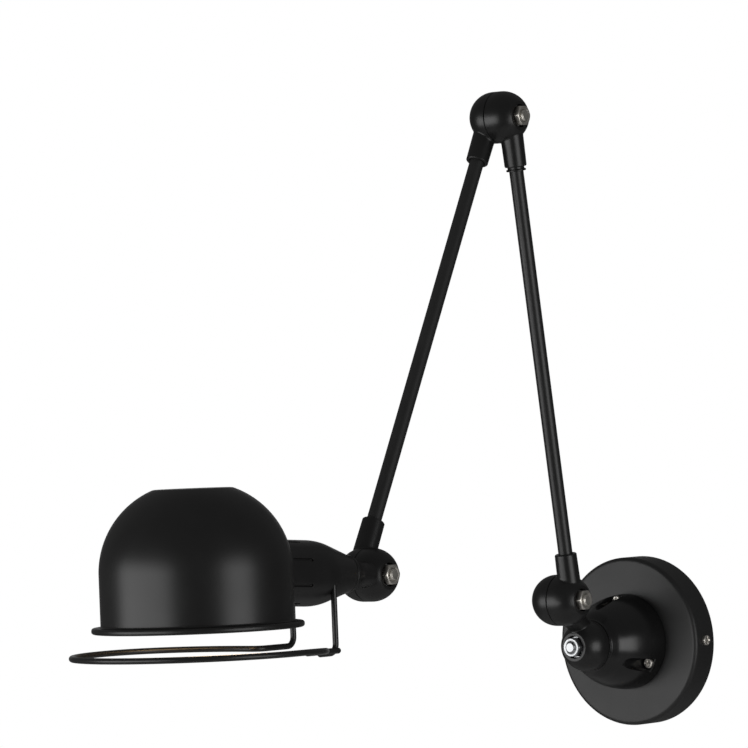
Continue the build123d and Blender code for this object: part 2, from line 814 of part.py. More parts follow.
pieces = {
    "wall_bracket": wall_bracket(),
    "canopy": canopy(),
    "canopy_side_screws": canopy_side_screws(),
    "terminal_block": terminal_block(),
    "earth_screw": earth_screw(),
    "wall_dome": wall_dome(),
    "dome_screws": dome_screws(),
    "dome_screw_nuts": dome_screw_nuts(),
    "swivel_bolt": swivel_frame * swivel_bolt(),
    "swivel_nut": swivel_frame * pivot_nut(),
    "swivel_washer": swivel_frame * pivot_washer(),
    "swivel_friction_disc": swivel_frame * friction_disc(),
    "swivel_elbow": swivel_elbow(),
    "lower_arm_wall_cup": lower_wall_frame * arm_cup(wall_stub_reach),
    "lower_arm_tube": lower_tube_frame * arm_tube(lower_arm_length, wall_stub_reach, top_stub_reach),
    "lower_arm_lead": lower_tube_frame * arm_lead(lower_arm_length),
    "lower_arm_lock_ring": lower_tube_frame * lock_ring(),
    "lower_arm_top_cup": lower_top_frame * arm_cup(top_stub_reach),
    "upper_arm_top_cup": upper_top_frame * arm_cup(top_stub_reach),
    "upper_arm_tube": upper_tube_frame * arm_tube(upper_arm_length, top_stub_reach, head_stub_reach),
    "upper_arm_lead": upper_tube_frame * arm_lead(upper_arm_length),
    "upper_arm_head_cup": upper_head_frame * arm_cup(head_stub_reach),
    "head_yoke": yoke_frame * head_yoke(),
    "head_nipple": head_frame * head_nipple(),
    "head_nipple_nut": head_frame * head_nipple_nut(),
    "head_swivel_washer": head_frame * swivel_washer(),
    "head_lead": head_frame * head_lead(),
    "lampholder_cover": head_frame * lampholder_cover(),
    "lampholder": head_frame * lampholder(),
    "socket_shell": head_frame * socket_shell(),
    "centre_contact": head_frame * centre_contact(),
    "shade": head_frame * shade(),
    "shade_clamp_ring": head_frame * shade_clamp_ring(),
    "bulb_cap": head_frame * bulb_cap(),
    "bulb_glass": head_frame * bulb_glass(),
    "guard_ring": head_frame * guard_ring(),
}

for name, centre in (("wall", wall_joint), ("top", top_joint), ("head", head_joint)):
    bolt_frame = knuckle_frame(centre, right_side, up)
    pieces[name + "_knuckle_bolt"] = bolt_frame * pivot_bolt()
    pieces[name + "_knuckle_nut"] = bolt_frame * pivot_nut()
    pieces[name + "_knuckle_washer"] = bolt_frame * pivot_washer()
    pieces[name + "_knuckle_disc"] = bolt_frame * friction_disc()

os.makedirs("parts", exist_ok=True)
for node, shape in pieces.items():
    solids = shape if isinstance(shape, list) else [shape]
    group = Compound(children=[solid for part in solids for solid in part.solids()])
    export_step(group, f"parts/{node}.step")

for label, joint in (("wall", wall_joint), ("top", top_joint), ("head", head_joint)):
    print(label, "joint", [round(value, 3) for value in joint])
print("swivel seam", round(seam_y, 3), "head axis", [round(value, 3) for value in head_centre])
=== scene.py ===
import json
import bmesh
import bpy
import numpy as np
from mathutils import Matrix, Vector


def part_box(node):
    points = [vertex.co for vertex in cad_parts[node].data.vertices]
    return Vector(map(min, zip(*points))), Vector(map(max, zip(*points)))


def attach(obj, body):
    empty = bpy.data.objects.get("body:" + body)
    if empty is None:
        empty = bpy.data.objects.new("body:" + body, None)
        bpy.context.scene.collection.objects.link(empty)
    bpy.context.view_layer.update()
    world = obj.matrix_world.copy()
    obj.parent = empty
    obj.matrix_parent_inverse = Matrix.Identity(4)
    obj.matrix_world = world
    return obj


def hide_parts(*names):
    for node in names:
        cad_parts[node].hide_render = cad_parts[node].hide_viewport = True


# Adjustable wall lamp: satin black castings, tubes and shade, bright bolts, a wire ring under the shade.
# Shapes are worked out in millimetres, and the meshes get metres.

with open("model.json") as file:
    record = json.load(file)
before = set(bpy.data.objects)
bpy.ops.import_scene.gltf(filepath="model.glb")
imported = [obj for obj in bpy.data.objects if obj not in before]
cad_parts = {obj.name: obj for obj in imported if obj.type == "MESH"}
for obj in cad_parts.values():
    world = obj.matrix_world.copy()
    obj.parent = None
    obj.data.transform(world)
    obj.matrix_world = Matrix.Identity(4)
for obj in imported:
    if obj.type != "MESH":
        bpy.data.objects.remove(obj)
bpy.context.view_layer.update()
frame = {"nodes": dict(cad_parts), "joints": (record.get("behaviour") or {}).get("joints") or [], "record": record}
mm = 0.001
pi = np.pi
weld = 2e-6  # metres within which the points of a piece join
sliver = 1e-7  # metres under which an edge is dropped
wideColumns = 192  # columns round the canopy and the shade


# Places that the frame gives

joints = {joint["name"]: joint for joint in frame["joints"]}


def jointPoint(name):
    return np.array(joints[name]["pos_m"]) / mm


def unit(vector):
    return vector / np.linalg.norm(vector)


def seat(origin, along, away):  # origin and axes of a place: x along, z away, y square to both
    return np.array(origin, float), np.stack([along, np.cross(away, along), away])


def put(points, place):  # points of a place's own axes, in the frame
    origin, axes = place
    return origin + points @ axes


def within(points, place):  # the way back: points of the frame, on a place's own axes
    origin, axes = place
    return (points - origin) @ axes.T


rightward = np.array([1.0, 0.0, 0.0])
outward = np.array([0.0, -1.0, 0.0])
upward = np.array([0.0, 0.0, 1.0])
swivelSeam = jointPoint("wall_swivel")
wallJoint = jointPoint("lower_arm_pivot")
topJoint = jointPoint("arm_fold")
headJoint = jointPoint("head_tilt")
headSeam = jointPoint("shade_swivel")
lowerUp = unit(topJoint - wallJoint)
upperDown = unit(headJoint - topJoint)
headOut = unit(np.array(joints["shade_swivel"]["axis"]) * [0.0, 1.0, 1.0])
headOut = headOut if headOut[1] < 0 else -headOut
headUp = np.cross(headOut, rightward)
stubAxis = headSeam[0] - headJoint[0]  # seam of a knuckle to its stub's axis
framePlace = seat([0, 0, 0], rightward, upward)  # the frame's own origin and axes
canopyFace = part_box("canopy")[0][1] / mm
domePlace = seat([0, canopyFace, 0], rightward, outward)
swivelPlace = seat(swivelSeam, upward, outward)
elbowBall = seat(wallJoint, upward, -rightward)
lowerWallPlace = seat(wallJoint, lowerUp, rightward)
lowerTopPlace = seat(topJoint, -lowerUp, rightward)
upperTopPlace = seat(topJoint, upperDown, -rightward)
upperHeadPlace = seat(headJoint, -upperDown, -rightward)
yokePlace = seat(headJoint, headOut, rightward)
headPlace = seat(headJoint + rightward * stubAxis, headOut, headUp)
print("frame read:", len(frame["nodes"]), "nodes, joints", ", ".join(joints))


# Shader maths

class Signal:  # a socket of a node tree, so that shader maths reads as plain maths
    def __init__(self, tree, socket=None):
        self.tree = tree
        self.socket = socket

    def node(self, kind, settings=None, sockets=None, output=0):  # any node: settings first, then sockets
        made = self.tree.nodes.new(kind)
        for key, value in (settings or {}).items():
            setattr(made, key, value)
        for key, value in (sockets or {}).items():
            if isinstance(value, Signal):
                self.tree.links.new(value.socket, made.inputs[key])
            else:
                made.inputs[key].default_value = value
        return Signal(self.tree, made.outputs[output] if len(made.outputs) else None)

    def maths(self, operation, first, second):
        return self.node("ShaderNodeMath", {"operation": operation}, {0: first, 1: second})

    def __add__(self, other):
        return self.maths("ADD", self, other)

    def __radd__(self, other):
        return self.maths("ADD", other, self)

    def __sub__(self, other):
        return self.maths("SUBTRACT", self, other)

    def __rsub__(self, other):
        return self.maths("SUBTRACT", other, self)

    def __mul__(self, other):
        return self.maths("MULTIPLY", self, other)

    def __truediv__(self, other):
        return self.maths("DIVIDE", self, other)

    def clamped(self, low=0.0, high=1.0):
        return self.maths("MINIMUM", self.maths("MAXIMUM", self, low), high)

    def blend(self, first, second):  # this value mixes two colours
        return self.node("ShaderNodeMix", {"data_type": "RGBA"}, {0: self, 6: first, 7: second}, 2)


def newTree(owner):
    owner.use_nodes = True
    owner.node_tree.nodes.clear()
    return Signal(owner.node_tree)


def grey(level):
    return (level, level, level, 1.0)


def noise(spot, perMetre, detail=2.0, roughness=0.5):
    sockets = {"Vector": spot, "Scale": perMetre, "Detail": detail, "Roughness": roughness}
    return spot.node("ShaderNodeTexNoise", None, sockets)


def newFinish(name):
    material = bpy.data.materials.new(name)
    tree = newTree(material)
    return material, tree.node("ShaderNodeTexCoord", None, None, "Object")


def closeFinish(spot, sockets):  # the shader and the output of a finish
    shader = spot.node("ShaderNodeBsdfPrincipled", None, sockets)
    spot.node("ShaderNodeOutputMaterial", None, {"Surface": shader})


def bumped(spot, height, strength, depth):
    return spot.node("ShaderNodeBump", None, {"Height": height, "Strength": strength, "Distance": depth})


# Black stove paint: a fine orange peel, cloudy gloss, dust in the lacquer

lacquer = {"cloudPerMetre": 38.0, "cloudShare": 0.7, "dustPerMetre": 5200.0, "dustStart": 0.72,
           "dustSpan": 0.05, "dustShare": 0.3, "dustRough": 0.06, "peelDepth": 0.00006, "gloss": 0.5}


def blackPaint(name, look):
    p = {**lacquer, **look}
    material, spot = newFinish(name)
    cloud = noise(spot, p["cloudPerMetre"], detail=3.0)
    peel = noise(spot, p["peelPerMetre"])
    specks = noise(spot, p["dustPerMetre"], detail=1.0) - p["dustStart"]
    dust = specks.clamped(0.0, p["dustSpan"]) * (1 / p["dustSpan"])
    colour = (cloud * p["cloudShare"] + dust * p["dustShare"]).blend(grey(p["dark"]), grey(p["pale"]))
    rough = p["rough"] + (cloud - 0.5) * p["roughSpread"] + dust * p["dustRough"]
    normal = bumped(spot, peel, p["peel"], p["peelDepth"])
    if "lining" in p:  # enamel on the inside, where the mesh says so
        inside = spot.node("ShaderNodeAttribute", {"attribute_name": "inside"}, None, "Fac")
        colour = inside.blend(colour, p["lining"])
    closeFinish(spot, {"Base Color": colour, "Roughness": rough, "Normal": normal,
                       "Specular IOR Level": p["gloss"]})
    return material


def looks(columns, rows):  # rows of a table, with their values named
    return {name: dict(zip(columns, row)) for name, row in rows.items()}


paintColumns = ("dark", "pale", "rough", "roughSpread", "peelPerMetre", "peel")
paintRows = {
    "castBlack": (0.008, 0.016, 0.34, 0.10, 900.0, 0.25),
    "domeBlack": (0.007, 0.014, 0.25, 0.08, 800.0, 0.22),
    "canopyBlack": (0.012, 0.022, 0.45, 0.10, 1000.0, 0.25),
    # the shade's row: the same black paint as the castings, a little paler: painted light, standing in for more
    # light on the shade
    "shadeBlackPaintedLight": (0.010, 0.019, 0.36, 0.08, 800.0, 0.2),
    "tubeBlack": (0.012, 0.022, 0.38, 0.10, 1100.0, 0.25),
    # the upper tube's row: the lower tube's paint made paler and rougher; the paler colour is painted light, for
    # the duller look its tilt gives under these lamps
    "dullTubeBlackPaintedLight": (0.014, 0.026, 0.5, 0.10, 1100.0, 0.3),
    "wireBlack": (0.010, 0.020, 0.32, 0.12, 1200.0, 0.25),
}
paintLooks = looks(paintColumns, paintRows)
paintLooks["shadeBlackPaintedLight"].update(gloss=0.45, lining=(0.26, 0.255, 0.24, 1))
paint = {name: blackPaint(name, look) for name, look in paintLooks.items()}


# Bright plating: warm nickel with fine turning marks and a little haze

turningMarks = {"hazePerMetre": 260.0, "hazeRough": 0.14, "perMetre": 900.0, "rough": 0.10, "bump": 0.25,
                "depth": 0.00003}


def plating(name, look):
    m = turningMarks
    material, spot = newFinish(name)
    haze = noise(spot, m["hazePerMetre"], detail=4.0, roughness=0.6)
    stretched = spot.node("ShaderNodeMapping", None, {"Vector": spot, "Scale": look["drawn"]})
    marks = noise(stretched, m["perMetre"], detail=3.0, roughness=0.6)
    colour = haze.blend(look["dark"], look["pale"])
    rough = look["rough"] + (haze - 0.5) * m["hazeRough"] + (marks - 0.5) * m["rough"]
    normal = bumped(spot, marks, m["bump"], m["depth"])
    closeFinish(spot, {"Base Color": colour, "Roughness": rough, "Normal": normal, "Metallic": 1.0})
    return material


plateColumns = ("dark", "pale", "rough", "drawn")
plateRows = {
    "brightNickel": ((0.62, 0.59, 0.54, 1), (0.84, 0.81, 0.75, 1), 0.37, (0.25, 2.2, 2.2)),
    "dullZinc": ((0.42, 0.43, 0.44, 1), (0.60, 0.61, 0.62, 1), 0.36, (1.0, 0.3, 1.6)),
    "rawBrass": ((0.50, 0.34, 0.12, 1), (0.74, 0.55, 0.25, 1), 0.30, (1.6, 1.6, 0.3)),
}
plate = {name: plating(name, look) for name, look in looks(plateColumns, plateRows).items()}


# Moulded and pressed insulating pieces

mouldSkin = {"roughSpread": 0.16, "grainDepth": 0.0001}


def moulded(name, look):
    material, spot = newFinish(name)
    flow = noise(spot, look["flowPerMetre"], detail=4.0, roughness=0.6)
    grain = noise(spot, look["grainPerMetre"])
    colour = flow.blend(look["dark"], look["pale"])
    rough = look["rough"] + (flow - 0.5) * mouldSkin["roughSpread"]
    normal = bumped(spot, grain, look["grain"], mouldSkin["grainDepth"])
    closeFinish(spot, {"Base Color": colour, "Roughness": rough, "Normal": normal})
    return material


mouldColumns = ("dark", "pale", "rough", "flowPerMetre", "grainPerMetre", "grain")
mouldRows = {
    "pressedFibre": ((0.16, 0.07, 0.03, 1), (0.30, 0.15, 0.07, 1), 0.75, 300.0, 2500.0, 0.5),
    "cableSheath": (grey(0.015), grey(0.04), 0.55, 120.0, 1800.0, 0.3),
    "phenolicBlack": ((0.010, 0.009, 0.008, 1), (0.030, 0.026, 0.022, 1), 0.35, 200.0, 1500.0, 0.2),
    "terminalWhite": ((0.62, 0.61, 0.57, 1), (0.78, 0.77, 0.73, 1), 0.45, 150.0, 1600.0, 0.2),
}
mould = {name: moulded(name, look) for name, look in looks(mouldColumns, mouldRows).items()}


# Opal glass with a warm glow

opalLook = {"glass": (0.86, 0.82, 0.74, 1), "glow": (1.0, 0.64, 0.32, 1), "paleGlow": (1.0, 0.8, 0.52, 1),
            "paleShare": 0.25, "strength": 11.0, "cloudPerMetre": 60.0, "rough": 0.25, "roughSpread": 0.1}


def opalGlass(look):
    material, spot = newFinish("opalGlass")
    cloud = noise(spot, look["cloudPerMetre"], detail=3.0)
    glow = (cloud * look["paleShare"]).blend(look["glow"], look["paleGlow"])
    rough = look["rough"] + (cloud - 0.5) * look["roughSpread"]
    closeFinish(spot, {"Base Color": look["glass"], "Roughness": rough, "Emission Color": glow,
                       "Emission Strength": look["strength"]})
    return material


opal = opalGlass(opalLook)
slotFinish = {"black_paint": paint["castBlack"], "bright_zinc": plate["dullZinc"], "brass": plate["rawBrass"],
              "fibre": mould["pressedFibre"], "cable_sheath": mould["cableSheath"],
              "phenolic": mould["phenolicBlack"], "terminal_plastic": mould["terminalWhite"],
              "bulb_glass": opal}
slotOf = {part["node"]: part["material_slot"] for part in frame["record"]["subparts"]}
print("finishes made:", len(bpy.data.materials))


# Meshes from grids

def skin(points):  # a grid of points and its quads: rows along the profile, columns round it
    rows, columns = points.shape[:2]
    index = np.arange(rows * columns).reshape(rows, columns)
    index = np.concatenate([index, index[:, :1]], axis=1)
    quads = np.stack([index[:-1, :-1], index[:-1, 1:], index[1:, 1:], index[1:, :-1]], axis=-1)
    return points.reshape(-1, 3), quads.reshape(-1, 4)


def placed(name, data):  # a new object in the scene
    made = bpy.data.objects.new(name, data)
    bpy.context.scene.collection.objects.link(made)
    return made


def makePiece(name, shapes, finish, body, node):  # shapes: grids of points, each with its place
    skins = [skin(put(points, place)) for points, place in shapes]
    starts = np.cumsum([0] + [len(points) for points, quads in skins])
    allPoints = np.concatenate([points for points, quads in skins]) * mm
    allQuads = np.concatenate([quads + start for (points, quads), start in zip(skins, starts)])
    mesh = bpy.data.meshes.new(name)
    mesh.from_pydata(allPoints.tolist(), [], allQuads.tolist())
    shell = bmesh.new()
    shell.from_mesh(mesh)
    bmesh.ops.remove_doubles(shell, verts=shell.verts, dist=weld)  # closes poles and joins
    bmesh.ops.dissolve_degenerate(shell, dist=sliver, edges=shell.edges)
    shell.to_mesh(mesh)
    shell.free()
    mesh.polygons.foreach_set("use_smooth", np.ones(len(mesh.polygons), bool))
    mesh.materials.append(finish)
    piece = placed(name, mesh)
    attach(piece, body)
    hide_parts(node)
    return piece


rounding = {"longest": 0.42, "hold": 0.3, "holdRun": 0.06}  # shares of the shorter run or the arc's reach


def rounded(*corners, steps=6):
    # Straight runs through corners of (a, b, radius), with an arc at each corner. A point beside each end of
    # the arc keeps smooth shading within the corner.
    spots = np.array([corner[:2] for corner in corners], float)
    parts = [spots[:1]]
    for before, spot, after, corner in zip(spots, spots[1:], spots[2:], corners[1:]):
        if corner[2] == 0:
            parts.append(spot[None])
            continue
        backRun, aheadRun = np.linalg.norm(before - spot), np.linalg.norm(after - spot)
        back, ahead = (before - spot) / backRun, (after - spot) / aheadRun
        half = np.arccos(np.clip(back @ ahead, -1, 1)) / 2
        shortRun = min(backRun, aheadRun)
        reach = min(corner[2] / np.tan(half), rounding["longest"] * shortRun)
        hold = reach + min(rounding["hold"] * reach, rounding["holdRun"] * shortRun)
        middle = spot + unit(back + ahead) * reach / np.cos(half)
        sweep = pi - 2 * half
        share = np.linspace(0, 1, steps + 1)[:, None]
        first, last = spot + back * reach - middle, spot + ahead * reach - middle
        bend = middle + (np.sin((1 - share) * sweep) * first + np.sin(share * sweep) * last) / np.sin(sweep)
        parts += [(spot + back * hold)[None], bend, (spot + ahead * hold)[None]]
    return np.concatenate(parts + [spots[-1:]])


def arc(centre, radius, start, end, steps):  # part of a circle, angles in degrees
    turn = np.radians(np.linspace(start, end, steps + 1))
    return np.array(centre) + radius * np.stack([np.cos(turn), np.sin(turn)], axis=1)


def plain(points):  # points as corners without rounding
    return [(first, second, 0) for first, second in points]


def pairs(first, second):  # two columns, where either may be one number
    return np.column_stack(np.broadcast_arrays(first, second))


def around(radius, turn, height):  # points at a radius and a turn about the z axis, and a height
    return np.stack(np.broadcast_arrays(radius * np.cos(turn), radius * np.sin(turn), height), axis=-1)


def aroundX(radius, turn, x):  # the same about the x axis
    return around(radius, turn, x)[..., [2, 0, 1]]


def fullTurn(columns):  # even angles once round
    return np.linspace(0, 2 * pi, columns, endpoint=False)


def turned(profile, columns=96):  # a profile of (radius, height) carried round the z axis
    return around(profile[:, :1], fullTurn(columns), profile[:, 1:])


def turnedX(profile, columns=96):  # the same from (radius, x), round the x axis
    return aroundX(profile[:, :1], fullTurn(columns), profile[:, 1:])


def pathFrames(line, firstNormal):  # two directions square to a path, turned as little as can be
    tangent = np.gradient(line, axis=0)
    tangent /= np.linalg.norm(tangent, axis=1, keepdims=True)
    normals = [unit(firstNormal - tangent[0] * (firstNormal @ tangent[0]))]
    for direction in tangent[1:]:
        normals.append(unit(normals[-1] - direction * (normals[-1] @ direction)))
    normal = np.array(normals)
    return normal, np.cross(tangent, normal)


def stations(line):  # how far along a path each of its points is
    return np.concatenate([[0], np.cumsum(np.linalg.norm(np.diff(line, axis=0), axis=1))])


def readAt(where, station, table):  # rows of a table at places along a path
    return np.stack([np.interp(where, station, column) for column in table.T], axis=-1)


def evenly(line, spacing):  # the same path with stations at an even spacing
    station = stations(line)
    return readAt(np.linspace(0, station[-1], int(station[-1] / spacing) + 2), station, line)


rodEnd = {"rows": (0.0, 0.12, 0.35, 0.7, 1.0), "clear": 1.2}  # in rod radii


def roundRod(line, radius, firstNormal, columns=20):  # a circle carried along a path, both ends rounded over
    ends = np.array(rodEnd["rows"])
    swell = np.sqrt(1 - (1 - ends) ** 2)
    normal, across = pathFrames(line, firstNormal)
    station = stations(line)
    clear = radius * rodEnd["clear"]
    inner = station[(station > clear) & (station < station[-1] - clear)]
    wanted = np.concatenate([ends * radius, inner, station[-1] - ends[::-1] * radius])
    girth = np.concatenate([swell, np.ones(len(inner)), swell[::-1]]) * radius
    middle, normal, across = (readAt(wanted, station, table)[:, None] for table in (line, normal, across))
    turn = fullTurn(columns)[None, :, None]
    return middle + girth[:, None, None] * (np.cos(turn) * normal + np.sin(turn) * across)


# Ball knuckles

knuckle = {"radius": 18.0, "straight": 3.5, "rim": 0.2, "edge": 0.35, "wallRadius": 14.8, "cavity": 8.0,
           "hub": 8.0, "discSeat": 1.02, "bore": 4.1, "bossRadius": 10.106, "lip": 0.5, "recess": 7.906,
           "recessDepth": 4.5, "lipTurn": 3.0}
knuckle["depth"] = knuckle["straight"] + np.sqrt(knuckle["radius"] ** 2 - knuckle["bossRadius"] ** 2)
knuckle["seat"] = knuckle["depth"] - knuckle["recessDepth"]


def knuckleHalf(place):  # one turned profile: hub, wire space, rim, cylinder, ball, the nut's boss and recess
    k = knuckle
    bossTurn = np.degrees(np.arcsin((k["depth"] - k["straight"]) / k["radius"]))
    ball = arc((0, k["straight"]), k["radius"], 0, bossTurn - k["lipTurn"], 22)
    profile = rounded(
        (k["bore"], k["discSeat"], 0),
        (k["hub"], k["discSeat"], 0.3),
        (k["hub"], k["cavity"], 0.8),
        (k["wallRadius"], k["cavity"], 0.8),
        (k["wallRadius"], k["rim"], 0.2),
        (k["radius"] - k["edge"], k["rim"], 0.1),
        (k["radius"], k["rim"] + k["edge"], 0.15),
        *plain(ball),
        (k["bossRadius"], k["depth"], k["lip"]),
        (k["recess"], k["depth"], 0.35),
        (k["recess"], k["seat"], 0.3),
        (k["bore"], k["seat"], 0.3),
        (k["bore"], k["discSeat"], 0),
    )
    return turned(profile), place


def cupGap(points, place):  # how far points are outside a knuckle's ball or the cylinder beside its seam
    local = within(points, place)
    rise = np.maximum(local[..., 2] - knuckle["straight"], 0)
    return np.sqrt(local[..., 0] ** 2 + local[..., 1] ** 2 + rise ** 2) - knuckle["radius"]


neckGrid = {"tests": 600, "rootRows": 9, "shaftRows": 42, "poleInset": 2.0, "seamReach": 6.0,
            "seamClear": 0.05}


def castNeck(line, girth, frames, startCup, endCup, foot, columns=96):
    # Circle of a changing girth carried along a path. Where it leaves a ball, its radius grows by a quarter
    # round, and the foot of the round lies on the ball. A pole inside the ball closes it. Near a ball, the
    # points stay on its side of the seam.
    g = neckGrid
    normal, across = frames
    station = stations(line)
    turn = fullTurn(columns)[:, None]

    def ring(where, extra):
        spread = (np.interp(where, station, girth) + extra)[..., None]
        middle, side, rise = (readAt(where, station, table) for table in (line, normal, across))
        return middle + spread * (np.cos(turn) * side + np.sin(turn) * rise)

    def pole(where):
        return np.tile(readAt(where, station, line), (1, columns, 1))

    def leaving(cup, extra, atEnd):  # station at which each column leaves the ball
        dense = np.linspace(0, station[-1], g["tests"])
        inside = cupGap(ring(np.repeat(dense[:, None], columns, axis=1), extra), cup) < 0
        half = len(dense) // 2
        if atEnd:
            return dense[half + np.argmax(inside[half:], axis=0)]
        return dense[half - 1 - np.argmax(inside[:half][::-1], axis=0)]

    quarter = np.radians(np.linspace(0, 90, g["rootRows"]))[:, None]
    rootExtra = np.repeat(foot * (1 - np.sin(quarter)), columns, axis=1)
    rootStart = leaving(startCup, foot, False)
    shaftStart = leaving(startCup, 0, False) + foot
    shaftEnd = leaving(endCup, 0, True) - foot if endCup else np.full(columns, station[-1])
    shaft = shaftStart + (shaftEnd - shaftStart) * np.linspace(0, 1, g["shaftRows"])[1:-1, None]
    rows = [pole(rootStart.min() - g["poleInset"]),
            ring(rootStart + (shaftStart - rootStart) * (1 - np.cos(quarter)), rootExtra), ring(shaft, 0)]
    if endCup:
        rootEnd = leaving(endCup, foot, True)
        rootWhere = rootEnd + (shaftEnd - rootEnd) * (1 - np.cos(quarter))
        rows += [ring(rootWhere[::-1], rootExtra[::-1]), pole(rootEnd.max() + g["poleInset"])]
    points = np.concatenate(rows)
    for cup in filter(None, (startCup, endCup)):
        local = within(points, cup)
        near = np.hypot(local[..., 0], local[..., 1]) < knuckle["radius"] + g["seamReach"]
        lowest = np.where(near, knuckle["rim"] + g["seamClear"], -np.inf)
        local[..., 2] = np.maximum(local[..., 2], lowest)
        points = put(local, cup)
    return points


def stubNeck(along, girth, foot):  # a neck on the straight axis of a stub, in its knuckle's own place
    line = np.stack([along, 0 * along, 0 * along + stubAxis], axis=1)
    frames = (np.tile([0.0, 1.0, 0.0], (len(along), 1)), np.tile(upward, (len(along), 1)))
    return castNeck(line, girth, frames, framePlace, None, foot)


stub = {"root": 8.1, "rootAt": 8.0, "end": 7.7, "edge": 0.6, "edgeRun": 1.6, "bore": 5.06, "boreDepth": 9.0,
        "sink": 0.9, "foot": 1.3, "stations": 160}
stubReach = {"wall": 33.0, "top": 35.0, "head": 40.0}


def armStub(place, endAt):  # a tapered stub, countersunk at its end
    s = stub
    shaftEnd = endAt - s["edge"] * s["edgeRun"]
    along = np.linspace(s["rootAt"], shaftEnd, s["stations"])
    girth = np.interp(along, [s["rootAt"], endAt], [s["root"], s["end"]])
    tail = rounded(
        (girth[-1], shaftEnd, 0),
        (s["end"], endAt - s["edge"], 0.3),
        (s["end"] - s["edge"], endAt, 0.3),
        (s["bore"] + s["sink"], endAt, 0.2),
        (s["bore"], endAt - s["sink"], 0.2),
        (s["bore"], endAt - s["boreDepth"], 0),
        (0, endAt - s["boreDepth"], 0),
    )
    end = turnedX(tail) + [0, 0, stubAxis]
    return np.concatenate([stubNeck(along, girth, s["foot"]), end]), place


def cupPiece(name, place, end, body, node):
    shapes = [knuckleHalf(place), armStub(place, stubReach[end])]
    makePiece(name, shapes, paint["castBlack"], body, node)


cupPiece("lowerArmWallCup", lowerWallPlace, "wall", "lower_arm", "lower_arm_wall_cup")
cupPiece("lowerArmTopCup", lowerTopPlace, "top", "lower_arm", "lower_arm_top_cup")
cupPiece("upperArmTopCup", upperTopPlace, "top", "upper_arm", "upper_arm_top_cup")
cupPiece("upperArmHeadCup", upperHeadPlace, "head", "upper_arm", "upper_arm_head_cup")
print("arm cups made")


# Elbow between the dome and the lower arm

elbow = {"kneeRise": 14.0, "bendShare": 0.9, "girth": 7.6, "foot": 1.5, "spacing": 0.3}


def elbowCasting():  # two half knuckles and a bent neck between their middles
    start = np.array([swivelSeam[1] - stubAxis, swivelSeam[2]])
    knee = start + [0, elbow["kneeRise"]]
    end = wallJoint[1:]
    turn = np.arctan2(start[0] - end[0], end[1] - knee[1])
    bend = elbow["bendShare"] * min(elbow["kneeRise"], np.linalg.norm(end - knee)) / np.tan(turn / 2)
    flat = evenly(rounded((*start, 0), (*knee, bend), (*end, 0), steps=24), elbow["spacing"])
    line = np.column_stack([0 * flat[:, 0], flat])
    neck = castNeck(line, np.full(len(line), elbow["girth"]), pathFrames(line, rightward),
                    swivelPlace, elbowBall, elbow["foot"])
    return [knuckleHalf(swivelPlace), knuckleHalf(elbowBall), (neck, framePlace)]


makePiece("swivelElbow", elbowCasting(), paint["castBlack"], "elbow", "swivel_elbow")
print("elbow made")


# Arm tubes and the lock ring

tube = {"radius": 5.0, "inside": 4.0, "grip": 8.0, "edge": 1.0, "columns": 64}
lockRing = {"flange": 6.9, "flangeHeight": 1.3, "neck": 5.9, "height": 3.0, "hole": 4.95}


def armTube(place, length, first, last):  # a pipe from inside one stub to inside the other
    t = tube
    start, end = stubReach[first] - t["grip"], length - stubReach[last] + t["grip"]
    outside = [[t["radius"], x] for x in (start, start + t["edge"], end - t["edge"], end)]
    profile = np.array([[t["inside"], start], *outside, [t["inside"], end], [t["inside"], start]])
    return [(turnedX(profile, t["columns"]) + [0, 0, stubAxis], place)]


def ringOnTube(place, length):  # thin flange below, a narrow neck up to the stub
    r = lockRing
    high = length - stubReach["top"]
    low = high - r["height"]
    step = low + r["flangeHeight"]
    profile = rounded((r["hole"], low, 0), (r["flange"], low, 0.4), (r["flange"], step, 0.4),
                      (r["neck"], step, 0.3), (r["neck"], high, 0.1), (r["hole"], high, 0),
                      (r["hole"], low, 0))
    return [(turnedX(profile) + [0, 0, stubAxis], place)]


lowerLength = np.linalg.norm(topJoint - wallJoint)
upperLength = np.linalg.norm(headJoint - topJoint)
makePiece("lowerArmTube", armTube(lowerWallPlace, lowerLength, "wall", "top"), paint["tubeBlack"],
          "lower_arm", "lower_arm_tube")
makePiece("upperArmTube", armTube(upperTopPlace, upperLength, "top", "head"), paint["dullTubeBlackPaintedLight"],
          "upper_arm", "upper_arm_tube")
makePiece("lowerArmLockRing", ringOnTube(lowerWallPlace, lowerLength), paint["castBlack"], "lower_arm",
          "lower_arm_lock_ring")
print("tubes made")


# Bolts, nuts and screws

fastener = {"boltRadius": 4.0, "washer": 1.6, "nutAcross": 13.0, "nutHeight": 6.5, "nutBore": 4.05,
            "point": 1.2, "pitch": 1.25, "threadDepth": 0.55, "threadLength": 10.0, "threadRow": 0.08,
            "waveGain": 1.6, "waveStart": 0.3, "pointCut": 0.9, "pointSlope": 1.2, "columns": 48,
            "overlap": 0.5, "headRadius": 6.6, "headHeight": 2.6, "headFace": 2.2, "socketAcross": 5.0,
            "socketDepth": 1.5, "socketFlare": 1.08, "socketEdge": 0.2, "socketFoot": 0.9, "footDepth": 0.1,
            "pointDepth": 0.3, "swivelHeadHeight": 5.3, "swivelHeadSeat": 6.0}
hexagon = {"rows": (0, 0.06, 0.15, 0.3, 0.5, 0.75, 1.0, 1.1), "coneStart": 0.96, "coneSlope": 1.73,
           "face": 0.9, "corner": 0.985, "sinkWide": 0.5, "sinkEdge": 0.35, "sinkStep": 0.1, "sinkDepth": 0.5}
faceShare = np.array([-1, -0.985, -0.95, -0.8, -0.45, 0, 0.45, 0.8, 0.95, 0.985])
hexTurn = np.radians((np.arange(6)[:, None] * 60 + faceShare * 30).ravel())


def hexRadius(across):  # flat sides: half the width over the cosine of the turn from a side's middle
    side = np.tile(across / 2 / np.cos(np.radians(faceShare * 30)), 6)
    return np.minimum(side, across / np.sqrt(3) * hexagon["corner"])


